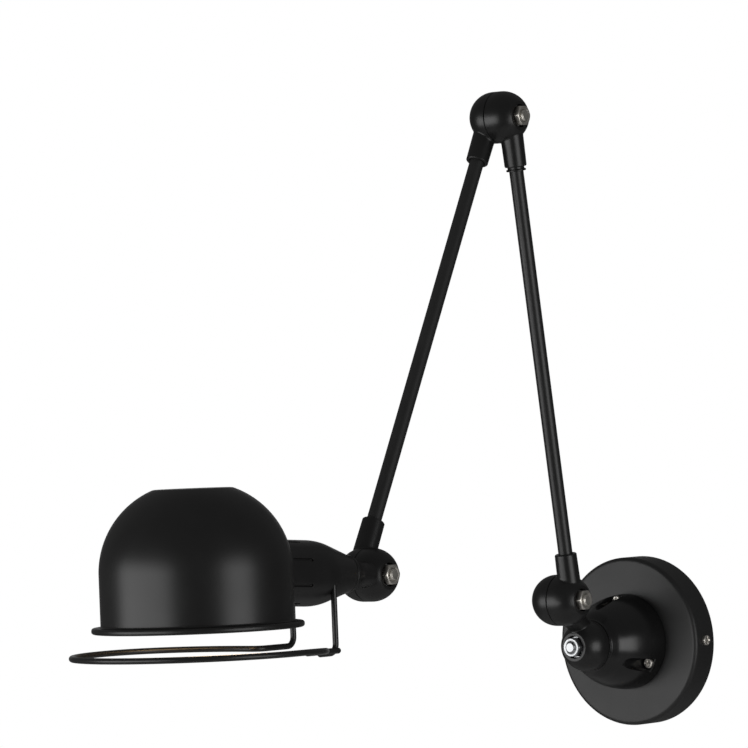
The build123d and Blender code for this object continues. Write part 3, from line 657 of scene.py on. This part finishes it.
def hexRows(*rows):  # rows of columns at the hexagon's turns, from pairs of radius and height
    return np.concatenate([around(np.atleast_2d(radius), hexTurn, height) for radius, height in rows])


def hexBody(across, low, high, bore):  # six sides, cut by a chamfer cone at each end; the bore is countersunk
    h = hexagon
    rise = np.array(h["rows"])
    heights = np.concatenate([low + rise, high - rise[::-1]])[:, None]
    cone = across / 2 * h["coneStart"] + np.minimum(heights - low, high - heights) * h["coneSlope"]
    face = across / 2 * h["face"]
    return hexRows((bore, low), (face, low), (np.minimum(hexRadius(across), cone), heights), (face, high),
                   (bore + h["sinkWide"], high), (bore + h["sinkEdge"], high - h["sinkStep"]),
                   (bore, high - h["sinkDepth"]), (bore, low))


def threadedEnd(low, high):  # radius falls by a clipped triangle wave along the helix, then a chamfered point
    f = fastener
    turn = fullTurn(f["columns"])
    heights = np.linspace(low, high, int((high - low) / f["threadRow"]))[:, None]
    wave = np.abs(2 * ((heights / f["pitch"] - turn / (2 * pi)) % 1.0) - 1)
    radius = f["boltRadius"] - f["threadDepth"] * np.clip(f["waveGain"] * wave - f["waveStart"], 0, 1)
    radius = np.minimum(radius, f["boltRadius"] - f["pointCut"] + (high - heights) * f["pointSlope"])
    face = np.array([0.96, 0.8, 0.4, 0.0])[:, None] * radius[-1:]
    faceHeights = high - np.array([0.0, 0.0, 0.02, 0.03])[:, None]
    return around(np.concatenate([0 * radius[:1], radius, face]), turn,
                  np.concatenate([heights[:1], heights, faceHeights]))


def shank(low, high):  # a closed rod that runs a little into head and thread
    radius, start, end = fastener["boltRadius"], low - fastener["overlap"], high + fastener["overlap"]
    return turned(np.array([[0, start], [radius, start], [radius, end], [0, end]]), fastener["columns"])


def socketHead(low, high):  # round head with a hexagon pressed into it
    f = fastener
    edge = rounded((0, low, 0), (f["headRadius"], low, 0.3), (f["headRadius"], high, 0.7),
                   (f["headRadius"] - f["headFace"], high, 0))
    socket, floor = hexRadius(f["socketAcross"]), high - f["socketDepth"]
    return hexRows((edge[:, :1], edge[:, 1:]), (socket * f["socketFlare"], high),
                   (socket, high - f["socketEdge"]), (socket, floor),
                   (socket * f["socketFoot"], floor - f["footDepth"]), (0, floor - f["pointDepth"]))


nutLow = knuckle["seat"] + fastener["washer"]
nutHigh = nutLow + fastener["nutHeight"]
boltEnd = nutHigh + fastener["point"]
threadLow = boltEnd - fastener["threadLength"]
nutShape = hexBody(fastener["nutAcross"], nutLow, nutHigh, fastener["nutBore"])


def boltAndNut(label, place, finish, body, shankLow, head, node):
    bolt = [(threadedEnd(threadLow, boltEnd), place), (shank(shankLow, threadLow), place), head]
    makePiece(label + "Bolt", bolt, finish, body, node + "_bolt")
    makePiece(label + "Nut", [(nutShape, place)], finish, body, node + "_nut")


def pivotHardware(label, centre, body, node):  # the head sits in the far cup's recess
    low = knuckle["seat"]
    head = socketHead(low, low + fastener["headHeight"]), seat(centre, upward, -rightward)
    boltAndNut(label, seat(centre, upward, rightward), plate["brightNickel"], body, -low, head, node)


pivotHardware("wallKnuckle", wallJoint, "elbow", "wall_knuckle")
pivotHardware("topKnuckle", topJoint, "upper_arm", "top_knuckle")
pivotHardware("headKnuckle", headJoint, "upper_arm", "head_knuckle")


def swivelHardware():  # its hexagon head sits inside the dome
    headHigh = -fastener["swivelHeadSeat"]
    head = hexBody(fastener["nutAcross"], headHigh - fastener["swivelHeadHeight"], headHigh, 0.0)
    boltAndNut("swivel", swivelPlace, plate["dullZinc"], "wall_mount", headHigh, (head, swivelPlace),
               "swivel")


swivelHardware()

screw = {"radius": 2.0, "head": 3.6, "height": 2.4, "crown": 1.2, "crownRun": 1.6, "topRows": 26,
         "crossWidth": 0.9, "crossLength": 4.2, "crossDepth": 1.1, "crossEdge": 0.06, "crossSlope": 0.14,
         "crossLevel": 0.6}


def panScrew(place, length):  # turned head and shank; the top sinks by its distance to a cross of two bars
    s = screw
    flatRadius = s["head"] - s["crownRun"]
    side = rounded((0, -length, 0), (s["radius"], -length, 0.2), (s["radius"], 0, 0.1), (s["head"], 0, 0.2),
                   (s["head"], s["height"], s["crown"]), (flatRadius, s["height"], 0))
    top = pairs(np.linspace(flatRadius, 0, s["topRows"])[1:], s["height"])
    points = turned(np.concatenate([side, top]))
    x, y = np.abs(points[..., 0]), np.abs(points[..., 1])
    halfWidth, halfLength = s["crossWidth"] / 2, s["crossLength"] / 2
    bars = np.minimum(np.maximum(x - halfWidth, y - halfLength), np.maximum(y - halfWidth, x - halfLength))
    sunk = s["crossDepth"] * np.clip((s["crossEdge"] - bars) / s["crossSlope"], 0, 1)
    points[..., 2] -= np.where(points[..., 2] > s["height"] - s["crossLevel"], sunk, 0)
    return points, place


canopy = {"radius": 60.0, "depth": 22.0, "wall": 1.5, "edge": 3.0, "hole": 12.0, "screwGrip": 7.5}
dome = {"base": 34.0, "baseEdge": 0.3, "length": 45.4, "nose": 18.0, "screwCircle": 29.6, "pocket": 4.75,
        "pocketSpan": 10.6, "flange": 9.5, "wall": 3.0, "noseWall": 6.0, "pocketWall": 2.5, "floorEdge": 0.15,
        "softness": 0.22, "screwGrip": 15.0, "ogiveEnd": 33.0, "shoulder": (23.0, 38.9), "shoulderBend": 20.0,
        "collar": 18.3, "collarHeight": 1.6, "collarBend": 1.8, "collarEdge": 0.4, "noseGap": 0.2,
        "sink": 8.3, "sinkDepth": 0.8, "bore": 4.05}
sideLevel = -canopy["depth"] / 2


def sideScrew(direction):
    origin = put(np.array([direction * canopy["radius"], 0, sideLevel]), domePlace)
    return panScrew(seat(origin, upward, rightward * direction), canopy["screwGrip"])


makePiece("canopySideScrews", [sideScrew(1), sideScrew(-1)], plate["brightNickel"], "wall_mount",
          "canopy_side_screws")
pocketTurns = np.radians([90, 210, 330])


def domeScrew(turn):
    spot = np.array([dome["screwCircle"] * np.cos(turn), dome["screwCircle"] * np.sin(turn), dome["flange"]])
    return panScrew(seat(put(spot, domePlace), rightward, outward), dome["screwGrip"])


makePiece("domeScrews", [domeScrew(turn) for turn in pocketTurns], plate["brightNickel"], "wall_mount",
          "dome_screws")
print("bolts, nuts and screws made")


# Canopy and dome

def canopyCup():  # spun cup: outer wall, rounded edge, face with its cable hole, and the inside
    c = canopy
    inner, innerEdge = c["radius"] - c["wall"], c["edge"] - c["wall"]
    profile = rounded((inner, -c["depth"], 0), (c["radius"], -c["depth"], 0.4), (c["radius"], 0, c["edge"]),
                      (c["hole"], 0, 0.4), (c["hole"], -c["wall"], 0.4), (inner, -c["wall"], innerEdge),
                      (inner, -c["depth"], 0), steps=8)
    return [(turned(profile, wideColumns), domePlace)]


makePiece("canopyCup", canopyCup(), paint["canopyBlack"], "wall_mount", "canopy")


def domeShell():
    # Radius at a height and a turn: the smaller of the flank's and of the near wall of a screw pocket, with
    # the corner between them eased. The flank is an ogive, then a shoulder and a collar at the nose. Under
    # the pockets' floor it is the ogive alone. The inside is as far in as the walls are thick.
    d = dome
    flare = d["base"] - d["nose"]
    bow = (flare ** 2 + d["length"] ** 2) / (2 * flare)
    beside = np.linspace(11, 60, 14)
    pocketSteps = np.linspace(-d["pocketSpan"], d["pocketSpan"], 80)
    third = np.radians(np.concatenate([-beside[::-1], pocketSteps, beside[:-1]]))
    turn = (pocketTurns[:, None] + third).ravel()
    lean = np.tile(third, len(pocketTurns))
    half = d["pocket"] ** 2 - (d["screwCircle"] * np.sin(lean)) ** 2
    nearWall = np.where(half > 0, d["screwCircle"] * np.cos(lean) - np.sqrt(np.maximum(half, 0)), np.inf)

    def ogive(height):
        return d["base"] - bow + np.sqrt(bow ** 2 - height ** 2)

    top = d["length"] - d["noseGap"]
    sinkFloor = top - d["sinkDepth"]
    nose = rounded((ogive(d["ogiveEnd"]), d["ogiveEnd"], 0), (*d["shoulder"], d["shoulderBend"]),
                   (d["collar"], top - d["collarHeight"], d["collarBend"]),
                   (d["collar"], top, d["collarEdge"]), (d["sink"], top, 0), (d["sink"], sinkFloor, 0),
                   (d["bore"], sinkFloor, 0), steps=10)
    floorLow, floorHigh = d["flange"] - d["floorEdge"], d["flange"] + d["floorEdge"]
    lowRows = np.concatenate([[0.0, 0.25, 0.5], np.linspace(1.5, floorLow - 0.4, 8), [floorLow]])
    upRows = np.linspace(floorHigh + 2.4, d["ogiveEnd"], 36)
    upRows = np.concatenate([floorHigh + np.array([0, 0.5, 1.4]), upRows])
    flank = np.concatenate([pairs(ogive(upRows), upRows), nose[1:]])
    low = np.repeat(ogive(lowRows)[:, None], len(turn), axis=1)
    low[0] -= d["baseEdge"]
    soft = d["softness"]
    smooth = -soft * np.logaddexp(-flank[:, :1] / soft, -nearWall / soft)
    floorShare = np.array([0.0, 0.1, 0.5, 0.9, 1.0])
    floor = low[-1] + (smooth[0] - low[-1]) * floorShare[:, None]
    floorHeights = floorLow + (floorHigh - floorLow) * floorShare
    underFloor = d["flange"] - d["wall"]
    inRows = np.linspace(d["length"] - d["noseWall"], underFloor, 16)
    inRows = np.concatenate([inRows, [underFloor - 0.2, 0.1]])
    inside = np.repeat(ogive(inRows)[:, None] - d["wall"], len(turn), axis=1)
    inside[:-2] = np.minimum(inside[:-2], nearWall - d["pocketWall"])
    bore = np.full((1, len(turn)), d["bore"])
    radius = np.concatenate([low, floor, smooth[1:], bore, inside, low[:1]])
    heights = np.concatenate([lowRows, floorHeights, flank[1:, 1], inRows[:1], inRows, lowRows[:1]])
    return [(around(radius, turn, heights[:, None]), domePlace)]


makePiece("wallDome", domeShell(), paint["domeBlack"], "wall_mount", "wall_dome")
print("canopy and dome made")


# Head: yoke, cover, shade, ring and bulb

yoke = {"neck": 8.7, "neckEnd": 20.0, "flare": 12.8, "lip": 2.4, "length": 36.0, "foot": 1.2, "rootAt": 8.0,
        "stations": 200, "bore": 5.1, "boreDepth": 13.0}


def headYoke():  # half a knuckle; its neck is straight, then an arc that leaves it smoothly opens to the seam
    y = yoke
    flareEnd, boreEnd = y["length"] - y["lip"], y["length"] - y["boreDepth"]
    along = np.linspace(y["rootAt"], flareEnd, y["stations"])
    run = np.maximum(along - y["neckEnd"], 0)
    fullRun, rise = flareEnd - y["neckEnd"], y["flare"] - y["neck"]
    bow = (fullRun ** 2 + rise ** 2) / (2 * rise)
    neck = stubNeck(along, y["neck"] + bow - np.sqrt(bow ** 2 - run ** 2), y["foot"])
    lip = rounded((y["flare"], flareEnd, 0), (y["flare"], y["length"], 0.9), (y["bore"], y["length"], 0.2),
                  (y["bore"], boreEnd, 0), (0, boreEnd, 0))
    lipRows = turnedX(lip) + [0, 0, stubAxis]
    return [knuckleHalf(yokePlace), (np.concatenate([neck, lipRows]), yokePlace)]


makePiece("headYoke", headYoke(), paint["castBlack"], "yoke", "head_yoke")

shade = {"reach": 183.7, "lean": 3.4, "drop": 37.6, "radius": 62.2, "height": 90.6, "skirt": 37.1,
         "bow": 57.3, "topEdge": 7.0, "wall": 1.2, "rim": 68.2, "rimHeight": 4.0, "rimRounding": 1.95,
         "rimFillet": 1.2, "insideLevel": 1.0}
shadeBowRadius = shade["radius"] - shade["bow"]
leanSine, leanCosine = np.sin(np.radians(shade["lean"])), np.cos(np.radians(shade["lean"]))
shadeOut, shadeUp = headOut * leanCosine - headUp * leanSine, headUp * leanCosine + headOut * leanSine
shadePivot = seat(put(np.array([shade["reach"], 0, 0]), headPlace), shadeOut, shadeUp)
shadePlace = seat(shadePivot[0] - shadeUp * shade["drop"], shadeOut, shadeUp)


def shadeRadius(height):  # outside of the shade at a height over its rim
    over = np.maximum(height - shade["skirt"], 0)
    return shadeBowRadius + np.sqrt(shade["bow"] ** 2 - over ** 2)


def shadeBell():  # rolled rim, straight skirt, a bow, a rounded edge and a flat top, then the inside again
    s = shade

    def bowAndTop(inset):
        edge = s["topEdge"] - inset
        level = s["height"] - s["topEdge"]
        edgeTurn = np.degrees(np.arcsin((level - s["skirt"]) / (s["bow"] - s["topEdge"])))
        edgeRadius = shadeBowRadius + np.sqrt((s["bow"] - s["topEdge"]) ** 2 - (level - s["skirt"]) ** 2)
        bow = arc((shadeBowRadius, s["skirt"]), s["bow"] - inset, 0, edgeTurn, 44)
        top = arc((edgeRadius, level), edge, edgeTurn, 90, 10)
        flat = pairs(edgeRadius * np.array([0.9, 0.5, 0.15, 0.0]), s["height"] - inset)
        return np.concatenate([bow, top[1:], flat])

    inner = s["radius"] - s["wall"]
    rim = rounded((inner, 0, 0), (s["rim"], 0, s["rimRounding"]),
                  (s["rim"], s["rimHeight"], s["rimRounding"]),
                  (s["radius"], s["rimHeight"], s["rimFillet"]), (s["radius"], s["skirt"], 0), steps=8)
    inside = np.concatenate([bowAndTop(s["wall"])[::-1], [[inner, s["skirt"] - 1], [inner, 1.5], [inner, 0]]])
    profile = np.concatenate([rim[:-1], bowAndTop(0), inside])
    return [(turned(profile, wideColumns), shadePlace)]


def markInside(piece, centre):  # inside is where the surface faces a point within
    mesh = piece.data
    spots, normals = np.empty((2, len(mesh.vertices), 3))
    mesh.vertices.foreach_get("co", spots.ravel())
    mesh.vertices.foreach_get("normal", normals.ravel())
    facing = ((spots / mm - centre) * normals).sum(axis=1)
    layer = mesh.attributes.new("inside", "FLOAT", "POINT")
    layer.data.foreach_set("value", (facing < 0).astype(float))


bell = makePiece("shadeBell", shadeBell(), paint["shadeBlackPaintedLight"], "shade_head", "shade")
markInside(bell, put(np.array([0, 0, shade["insideLevel"]]), shadePlace))

cover = {"back": 36.6, "backRadius": 12.9, "radius": 21.8, "inside": 20.2, "barrel": 52.8, "blend": 60.0,
         "slots": 8, "slotLength": 20.0, "slotWidth": 2.2, "slotSpace": 10.5, "slotDepth": 1.5, "margin": 3.0,
         "gap": 0.3, "bore": 5.1, "backWall": 2.9, "lipDepth": 6.0, "slotColumns": 12, "copeRounds": 5}


def coverShell():
    # Back, cone and barrel are turned. Each slot sits in a panel of rings, which go from a rectangle to the
    # slot's outline and then down its wall to the floor. The end follows the shade: the reach less the
    # shade's half width at that height and side.
    c = cover
    shadeSide = shade["reach"] - shade["radius"]
    coneEnd = shadeSide - c["barrel"]
    slotMiddle = shadeSide - c["slotSpace"] - c["slotLength"] / 2
    panelHalf = c["slotLength"] / 2 + c["margin"]
    columns = c["slots"] * c["slotColumns"]
    turn = fullTurn(columns)
    back = rounded((c["bore"], c["back"], 0), (c["backRadius"], c["back"], 0.5),
                   (c["radius"], coneEnd, c["blend"]), (c["radius"], slotMiddle - panelHalf, 0), steps=14)

    def copedRow(radius, short):  # found in a few rounds, because the shade leans
        side, level = radius * np.cos(turn), radius * np.sin(turn)
        reach = 0 * turn - shade["radius"]
        for trial in range(c["copeRounds"]):
            height = reach * leanSine + level * leanCosine + shade["drop"]
            across = np.sqrt((shadeRadius(height) + c["gap"]) ** 2 - side ** 2)
            reach = (level * leanSine - across) / leanCosine
        return np.stack([shade["reach"] + reach - short, side, level], axis=-1)

    panelEnd = aroundX(c["radius"], turn, slotMiddle + panelHalf)
    front = panelEnd + (copedRow(c["radius"], 0.35) - panelEnd) * np.linspace(0, 1, 9)[:, None, None]
    lip = np.stack([copedRow(c["radius"] - 0.06, 0.12), copedRow(c["radius"] - 0.3, 0.0),
                    copedRow(c["inside"] + 0.2, 0.0), copedRow(c["inside"], 0.2),
                    copedRow(c["inside"], c["lipDepth"])])
    backInside = c["back"] + c["backWall"]
    lining = np.array([[c["inside"], coneEnd], [c["backRadius"] - c["radius"] + c["inside"], backInside],
                       [c["bore"], backInside], [c["bore"], c["back"]]])
    shell = np.concatenate([front, lip, turnedX(lining, columns)])

    step = np.linspace(-1, 1, c["slotColumns"] + 1)[:-1]
    bend = np.linspace(pi / 2, -pi / 2, c["slotColumns"] + 1)[:-1]
    wide = pi / c["slots"] * c["radius"]
    box = np.concatenate([pairs(step * panelHalf, wide), pairs(panelHalf, -step * wide),
                          pairs(-step * panelHalf, -wide), pairs(-panelHalf, step * wide)])
    straight = (c["slotLength"] - c["slotWidth"]) / 2
    spine = np.concatenate([pairs(step * straight, 0), pairs(straight + 0 * step, 0),
                            pairs(-step * straight, 0), pairs(-straight + 0 * step, 0)])
    aside = np.concatenate([pairs(0 * step, 1), pairs(np.cos(bend), np.sin(bend)),
                            pairs(0 * step, -1), pairs(-np.cos(bend), -np.sin(bend))])
    halfWidth = c["slotWidth"] / 2

    def slotRing(inset):
        return spine + aside * (halfWidth - inset)

    spread = np.array([0, 0.3, 0.6, 0.85, 1.0])[:, None, None]
    outer = box + (slotRing(-0.25) - box) * spread
    wall = np.stack([slotRing(inset) for inset in (-0.1, 0.0, 0.06, 0.08, 0.08, 0.3, halfWidth)])
    wallDepth = [0.0, 0.03, 0.12, 0.3, c["slotDepth"] - 0.1, c["slotDepth"], c["slotDepth"]]
    flat = np.concatenate([outer, wall])
    radius = c["radius"] - np.concatenate([np.zeros(len(outer)), wallDepth])[:, None]
    shapes = [turnedX(back, columns), shell]
    for index in range(c["slots"]):
        angle = (index + 0.5) * 2 * pi / c["slots"] + flat[..., 1] / c["radius"]
        shapes.append(aroundX(radius, angle, slotMiddle + flat[..., 0]))
    return [(points, headPlace) for points in shapes]


makePiece("lampholderCover", coverShell(), paint["castBlack"], "shade_head", "lampholder_cover")

ring = {"wire": 2.0, "radius": 81.2, "level": -52.5, "leg": 18.0, "splice": 3.2, "throat": 9.0,
        "rodPlace": -114.7, "rodTop": -11.3, "rodBend": 6.0, "leftTurn": 1.5, "rightTurn": 4.6,
        "footDrop": 1.6, "footLength": 18.0, "spacing": 1.2, "rodSpacing": 0.8}


def guardWire():
    # A round wire along its path: rod, leg, throat, ring, throat and leg, then the second rod with its foot.
    # Each back quarter of the ring hangs a little: it turns about the line that touches the ring's side.
    g = ring
    far = g["radius"] + g["throat"]

    def hung(flat, side, turn):
        inward = flat[:, 1] - side * g["radius"]
        tilt = np.radians(turn)
        return np.column_stack([flat[:, 0], side * g["radius"] + inward * np.cos(tilt),
                                g["level"] - np.abs(inward) * np.sin(tilt)])

    def backQuarter(side, leg, turn):  # from the ring's side to the end of the leg
        throat = leg + side * g["throat"]
        throatX = -np.sqrt(far ** 2 - throat ** 2)
        meet = np.degrees(np.arctan2(throat, throatX)) % 360
        quarter = arc((0, 0), g["radius"], 180 - side * 90, meet, 50)
        bend = arc((throatX, throat), g["throat"], meet - 180, -side * 90, 10)
        return hung(np.concatenate([quarter, bend[1:], [[g["rodPlace"], leg]]]), side, turn)

    left = backQuarter(-1, -g["leg"], g["leftTurn"])
    right = backQuarter(1, g["leg"] + g["splice"], g["rightTurn"])
    front = arc((0, 0), g["radius"], -90, 90, 80)
    front = np.insert(front, 2, g["level"], axis=1)
    legY, legZ = left[-1, 1:]

    def bentRod(y, level, end):  # down from the cover, then a bend to a level stretch
        corner = (level, g["rodPlace"], g["rodBend"])
        drop = rounded((g["rodTop"], g["rodPlace"], 0), corner, (level, end, 0), steps=14)
        return np.column_stack([drop[:, 1], y + 0 * drop[:, 0], drop[:, 0]])

    rod = bentRod(legY, legZ, left[-2, 0])
    ringLine = evenly(np.concatenate([rod, left[::-1][2:], front[1:], right[1:]]), g["spacing"])
    foot = bentRod(g["leg"], right[-1, 2] - g["footDrop"], g["rodPlace"] + g["footLength"])
    rodLine = evenly(foot, g["rodSpacing"])
    side = np.array([0.0, 1.0, 0.0])
    return [(roundRod(line, g["wire"], side), shadePivot) for line in (ringLine, rodLine)]


makePiece("guardWire", guardWire(), paint["wireBlack"], "shade_head", "guard_ring")

bulb = {"start": 128.4, "neck": 12.4, "centre": 157.4, "radius": 22.5, "shoulder": 130.0}


def bulbGlobe():  # neck on a smooth cubic to the globe's shoulder, then the globe
    b = bulb
    globe = arc((0, b["centre"]), b["radius"], 90 - b["shoulder"], 90, 40)
    start, meet = np.array([b["neck"], b["start"]]), globe[0]
    lean = np.radians(180 - b["shoulder"])
    reach = np.linalg.norm(meet - start)
    leaving, arriving = reach * np.array([0, 1]), reach * np.array([np.cos(lean), np.sin(lean)])
    t = np.linspace(0, 1, 14)[:, None]
    ends = (2 * t ** 3 - 3 * t ** 2 + 1) * start + (3 * t ** 2 - 2 * t ** 3) * meet
    neck = ends + (t ** 3 - 2 * t ** 2 + t) * leaving + (t ** 3 - t ** 2) * arriving
    profile = np.concatenate([[[0, b["start"]]], neck, globe[1:]])
    return [(turnedX(profile), headPlace)]


makePiece("bulbGlobe", bulbGlobe(), opal, "shade_head", "bulb_glass")
print("head made")


# Nodes that stay as they are get their finish

for nodeName, node in frame["nodes"].items():
    node.data.materials.clear()
    node.data.materials.append(slotFinish[slotOf[nodeName]])


# Studio: pale floor, two softboxes, white behind the lamp

camera = {"azimuth": 39.31, "elevation": -0.34, "roll": -2.44, "distance": 3500.0, "focalPixels": 5018.7,
          "target": (-77.76, -200.0, 198.19), "frame": 748, "sensor": 36.0, "clipEnd": 50.0}
studio = {"distance": 2.2, "fill": 0.06, "sky": 0.08, "behind": 0.35, "wallStart": 0.93, "wallEnd": 0.99}
softboxes = {"leftSoftbox": {"angle": -59.0, "level": -8.3, "size": (2.7, 1.2), "radiance": 2.6},
             "rightSoftbox": {"angle": 45.0, "level": -7.2, "size": (1.35, 1.28), "radiance": 2.5}}
stageFloor = {"level": -0.85, "radius": 1.9, "fade": 0.6, "glow": 0.55, "dark": 0.80, "pale": 0.84,
              "rough": 0.9, "specksPerMetre": 120.0, "rows": 24}


def towards(azimuth, elevation):  # angles in radians; azimuth 0 looks from the front
    level = np.cos(elevation)
    return np.array([np.sin(azimuth) * level, -np.cos(azimuth) * level, np.sin(elevation)])


def cameraAxes():
    azimuth, elevation, roll = np.radians([camera["azimuth"], camera["elevation"], camera["roll"]])
    back = towards(azimuth, elevation)
    level = np.array([np.cos(azimuth), np.sin(azimuth), 0.0])
    high = np.cross(back, level)
    right = np.cos(roll) * level + np.sin(roll) * high
    up = -np.sin(roll) * level + np.cos(roll) * high
    return right, up, back


def lookFrom(right, up, back, place):
    axes = np.eye(4)
    axes[:3, 0], axes[:3, 1], axes[:3, 2], axes[:3, 3] = right, up, back, place
    return Matrix(axes.tolist())


camRight, camUp, camBack = cameraAxes()
target = np.array(camera["target"]) * mm
camData = bpy.data.cameras.new("photoCamera")
camData.sensor_width = camera["sensor"]
camData.lens = camera["focalPixels"] * camera["sensor"] / camera["frame"]
camData.clip_end = camera["clipEnd"]
photoCamera = placed("photoCamera", camData)
photoCamera.matrix_world = lookFrom(camRight, camUp, camBack, target + camBack * camera["distance"] * mm)
bpy.context.scene.camera = photoCamera


def softbox(name, box):  # power gives the wanted radiance over the box's face
    turn = np.radians(camera["azimuth"] + box["angle"])
    away = towards(turn, np.radians(box["level"]))
    side = np.array([np.cos(turn), np.sin(turn), 0.0])
    width, height = box["size"]
    light = bpy.data.lights.new(name, "AREA")
    light.shape = "RECTANGLE"
    light.size = width
    light.size_y = height
    light.energy = box["radiance"] * pi * width * height
    lamp = placed(name, light)
    lamp.matrix_world = lookFrom(side, np.cross(away, side), away, target + away * studio["distance"])
    lamp.visible_camera = False


for boxName, box in softboxes.items():
    softbox(boxName, box)


def studioWorld():  # white to the camera, a soft white wall behind the lamp in reflections, dim all round
    world = bpy.data.worlds.new("studioWorld")
    tree = newTree(world)
    direction = tree.node("ShaderNodeTexCoord", None, None, "Generated")
    facing = direction.node("ShaderNodeVectorMath", {"operation": "DOT_PRODUCT"},
                            {0: direction, 1: tuple(-camBack)}, "Value")
    wall = ((facing - studio["wallStart"]) / (studio["wallEnd"] - studio["wallStart"])).clamped()
    height = direction.node("ShaderNodeSeparateXYZ", None, {0: direction}, "Z")
    dim = studio["fill"] + height.clamped() * studio["sky"]
    reflected = dim + wall * (studio["behind"] - dim)
    path = tree.node("ShaderNodeLightPath", None, None, "Is Camera Ray")
    glossy = Signal(tree.tree, path.socket.node.outputs["Is Glossy Ray"])
    through = Signal(tree.tree, path.socket.node.outputs["Is Transmission Ray"])
    mirrored = (glossy + through).clamped()
    strength = path + (1 - path) * (mirrored * reflected + (1 - mirrored) * dim)
    sky = tree.node("ShaderNodeBackground", None, {"Color": grey(1.0), "Strength": strength})
    tree.node("ShaderNodeOutputWorld", None, {"Surface": sky})
    bpy.context.scene.world = world


studioWorld()


def paleFloor():  # a disc whose edge fades out, pale to the camera and open to it from below
    f = stageFloor
    material, spot = newFinish("paleFloor")
    specks = noise(spot, f["specksPerMetre"], detail=3.0)
    distance = spot.node("ShaderNodeVectorMath", {"operation": "LENGTH"}, {0: spot}, "Value")
    fade = ((f["radius"] - distance) / f["fade"]).clamped()
    seen = spot.node("ShaderNodeLightPath", None, None, "Is Camera Ray")
    below = spot.node("ShaderNodeNewGeometry", None, None, "Backfacing")
    closeFinish(spot, {"Base Color": specks.blend(grey(f["dark"]), grey(f["pale"])), "Roughness": f["rough"],
                       "Alpha": fade * (1 - seen * below), "Emission Strength": 1.0,
                       "Emission Color": seen.blend(grey(0.0), grey(f["glow"]))})
    points, quads = skin(turned(pairs(np.linspace(f["radius"], 0, f["rows"]), f["level"])))
    mesh = bpy.data.meshes.new("paleFloor")
    mesh.from_pydata(points.tolist(), [], quads.tolist())
    mesh.materials.append(material)
    floor = placed("paleFloor", mesh)


paleFloor()
bpy.context.scene.view_settings.view_transform = "Standard"
print("studio made")
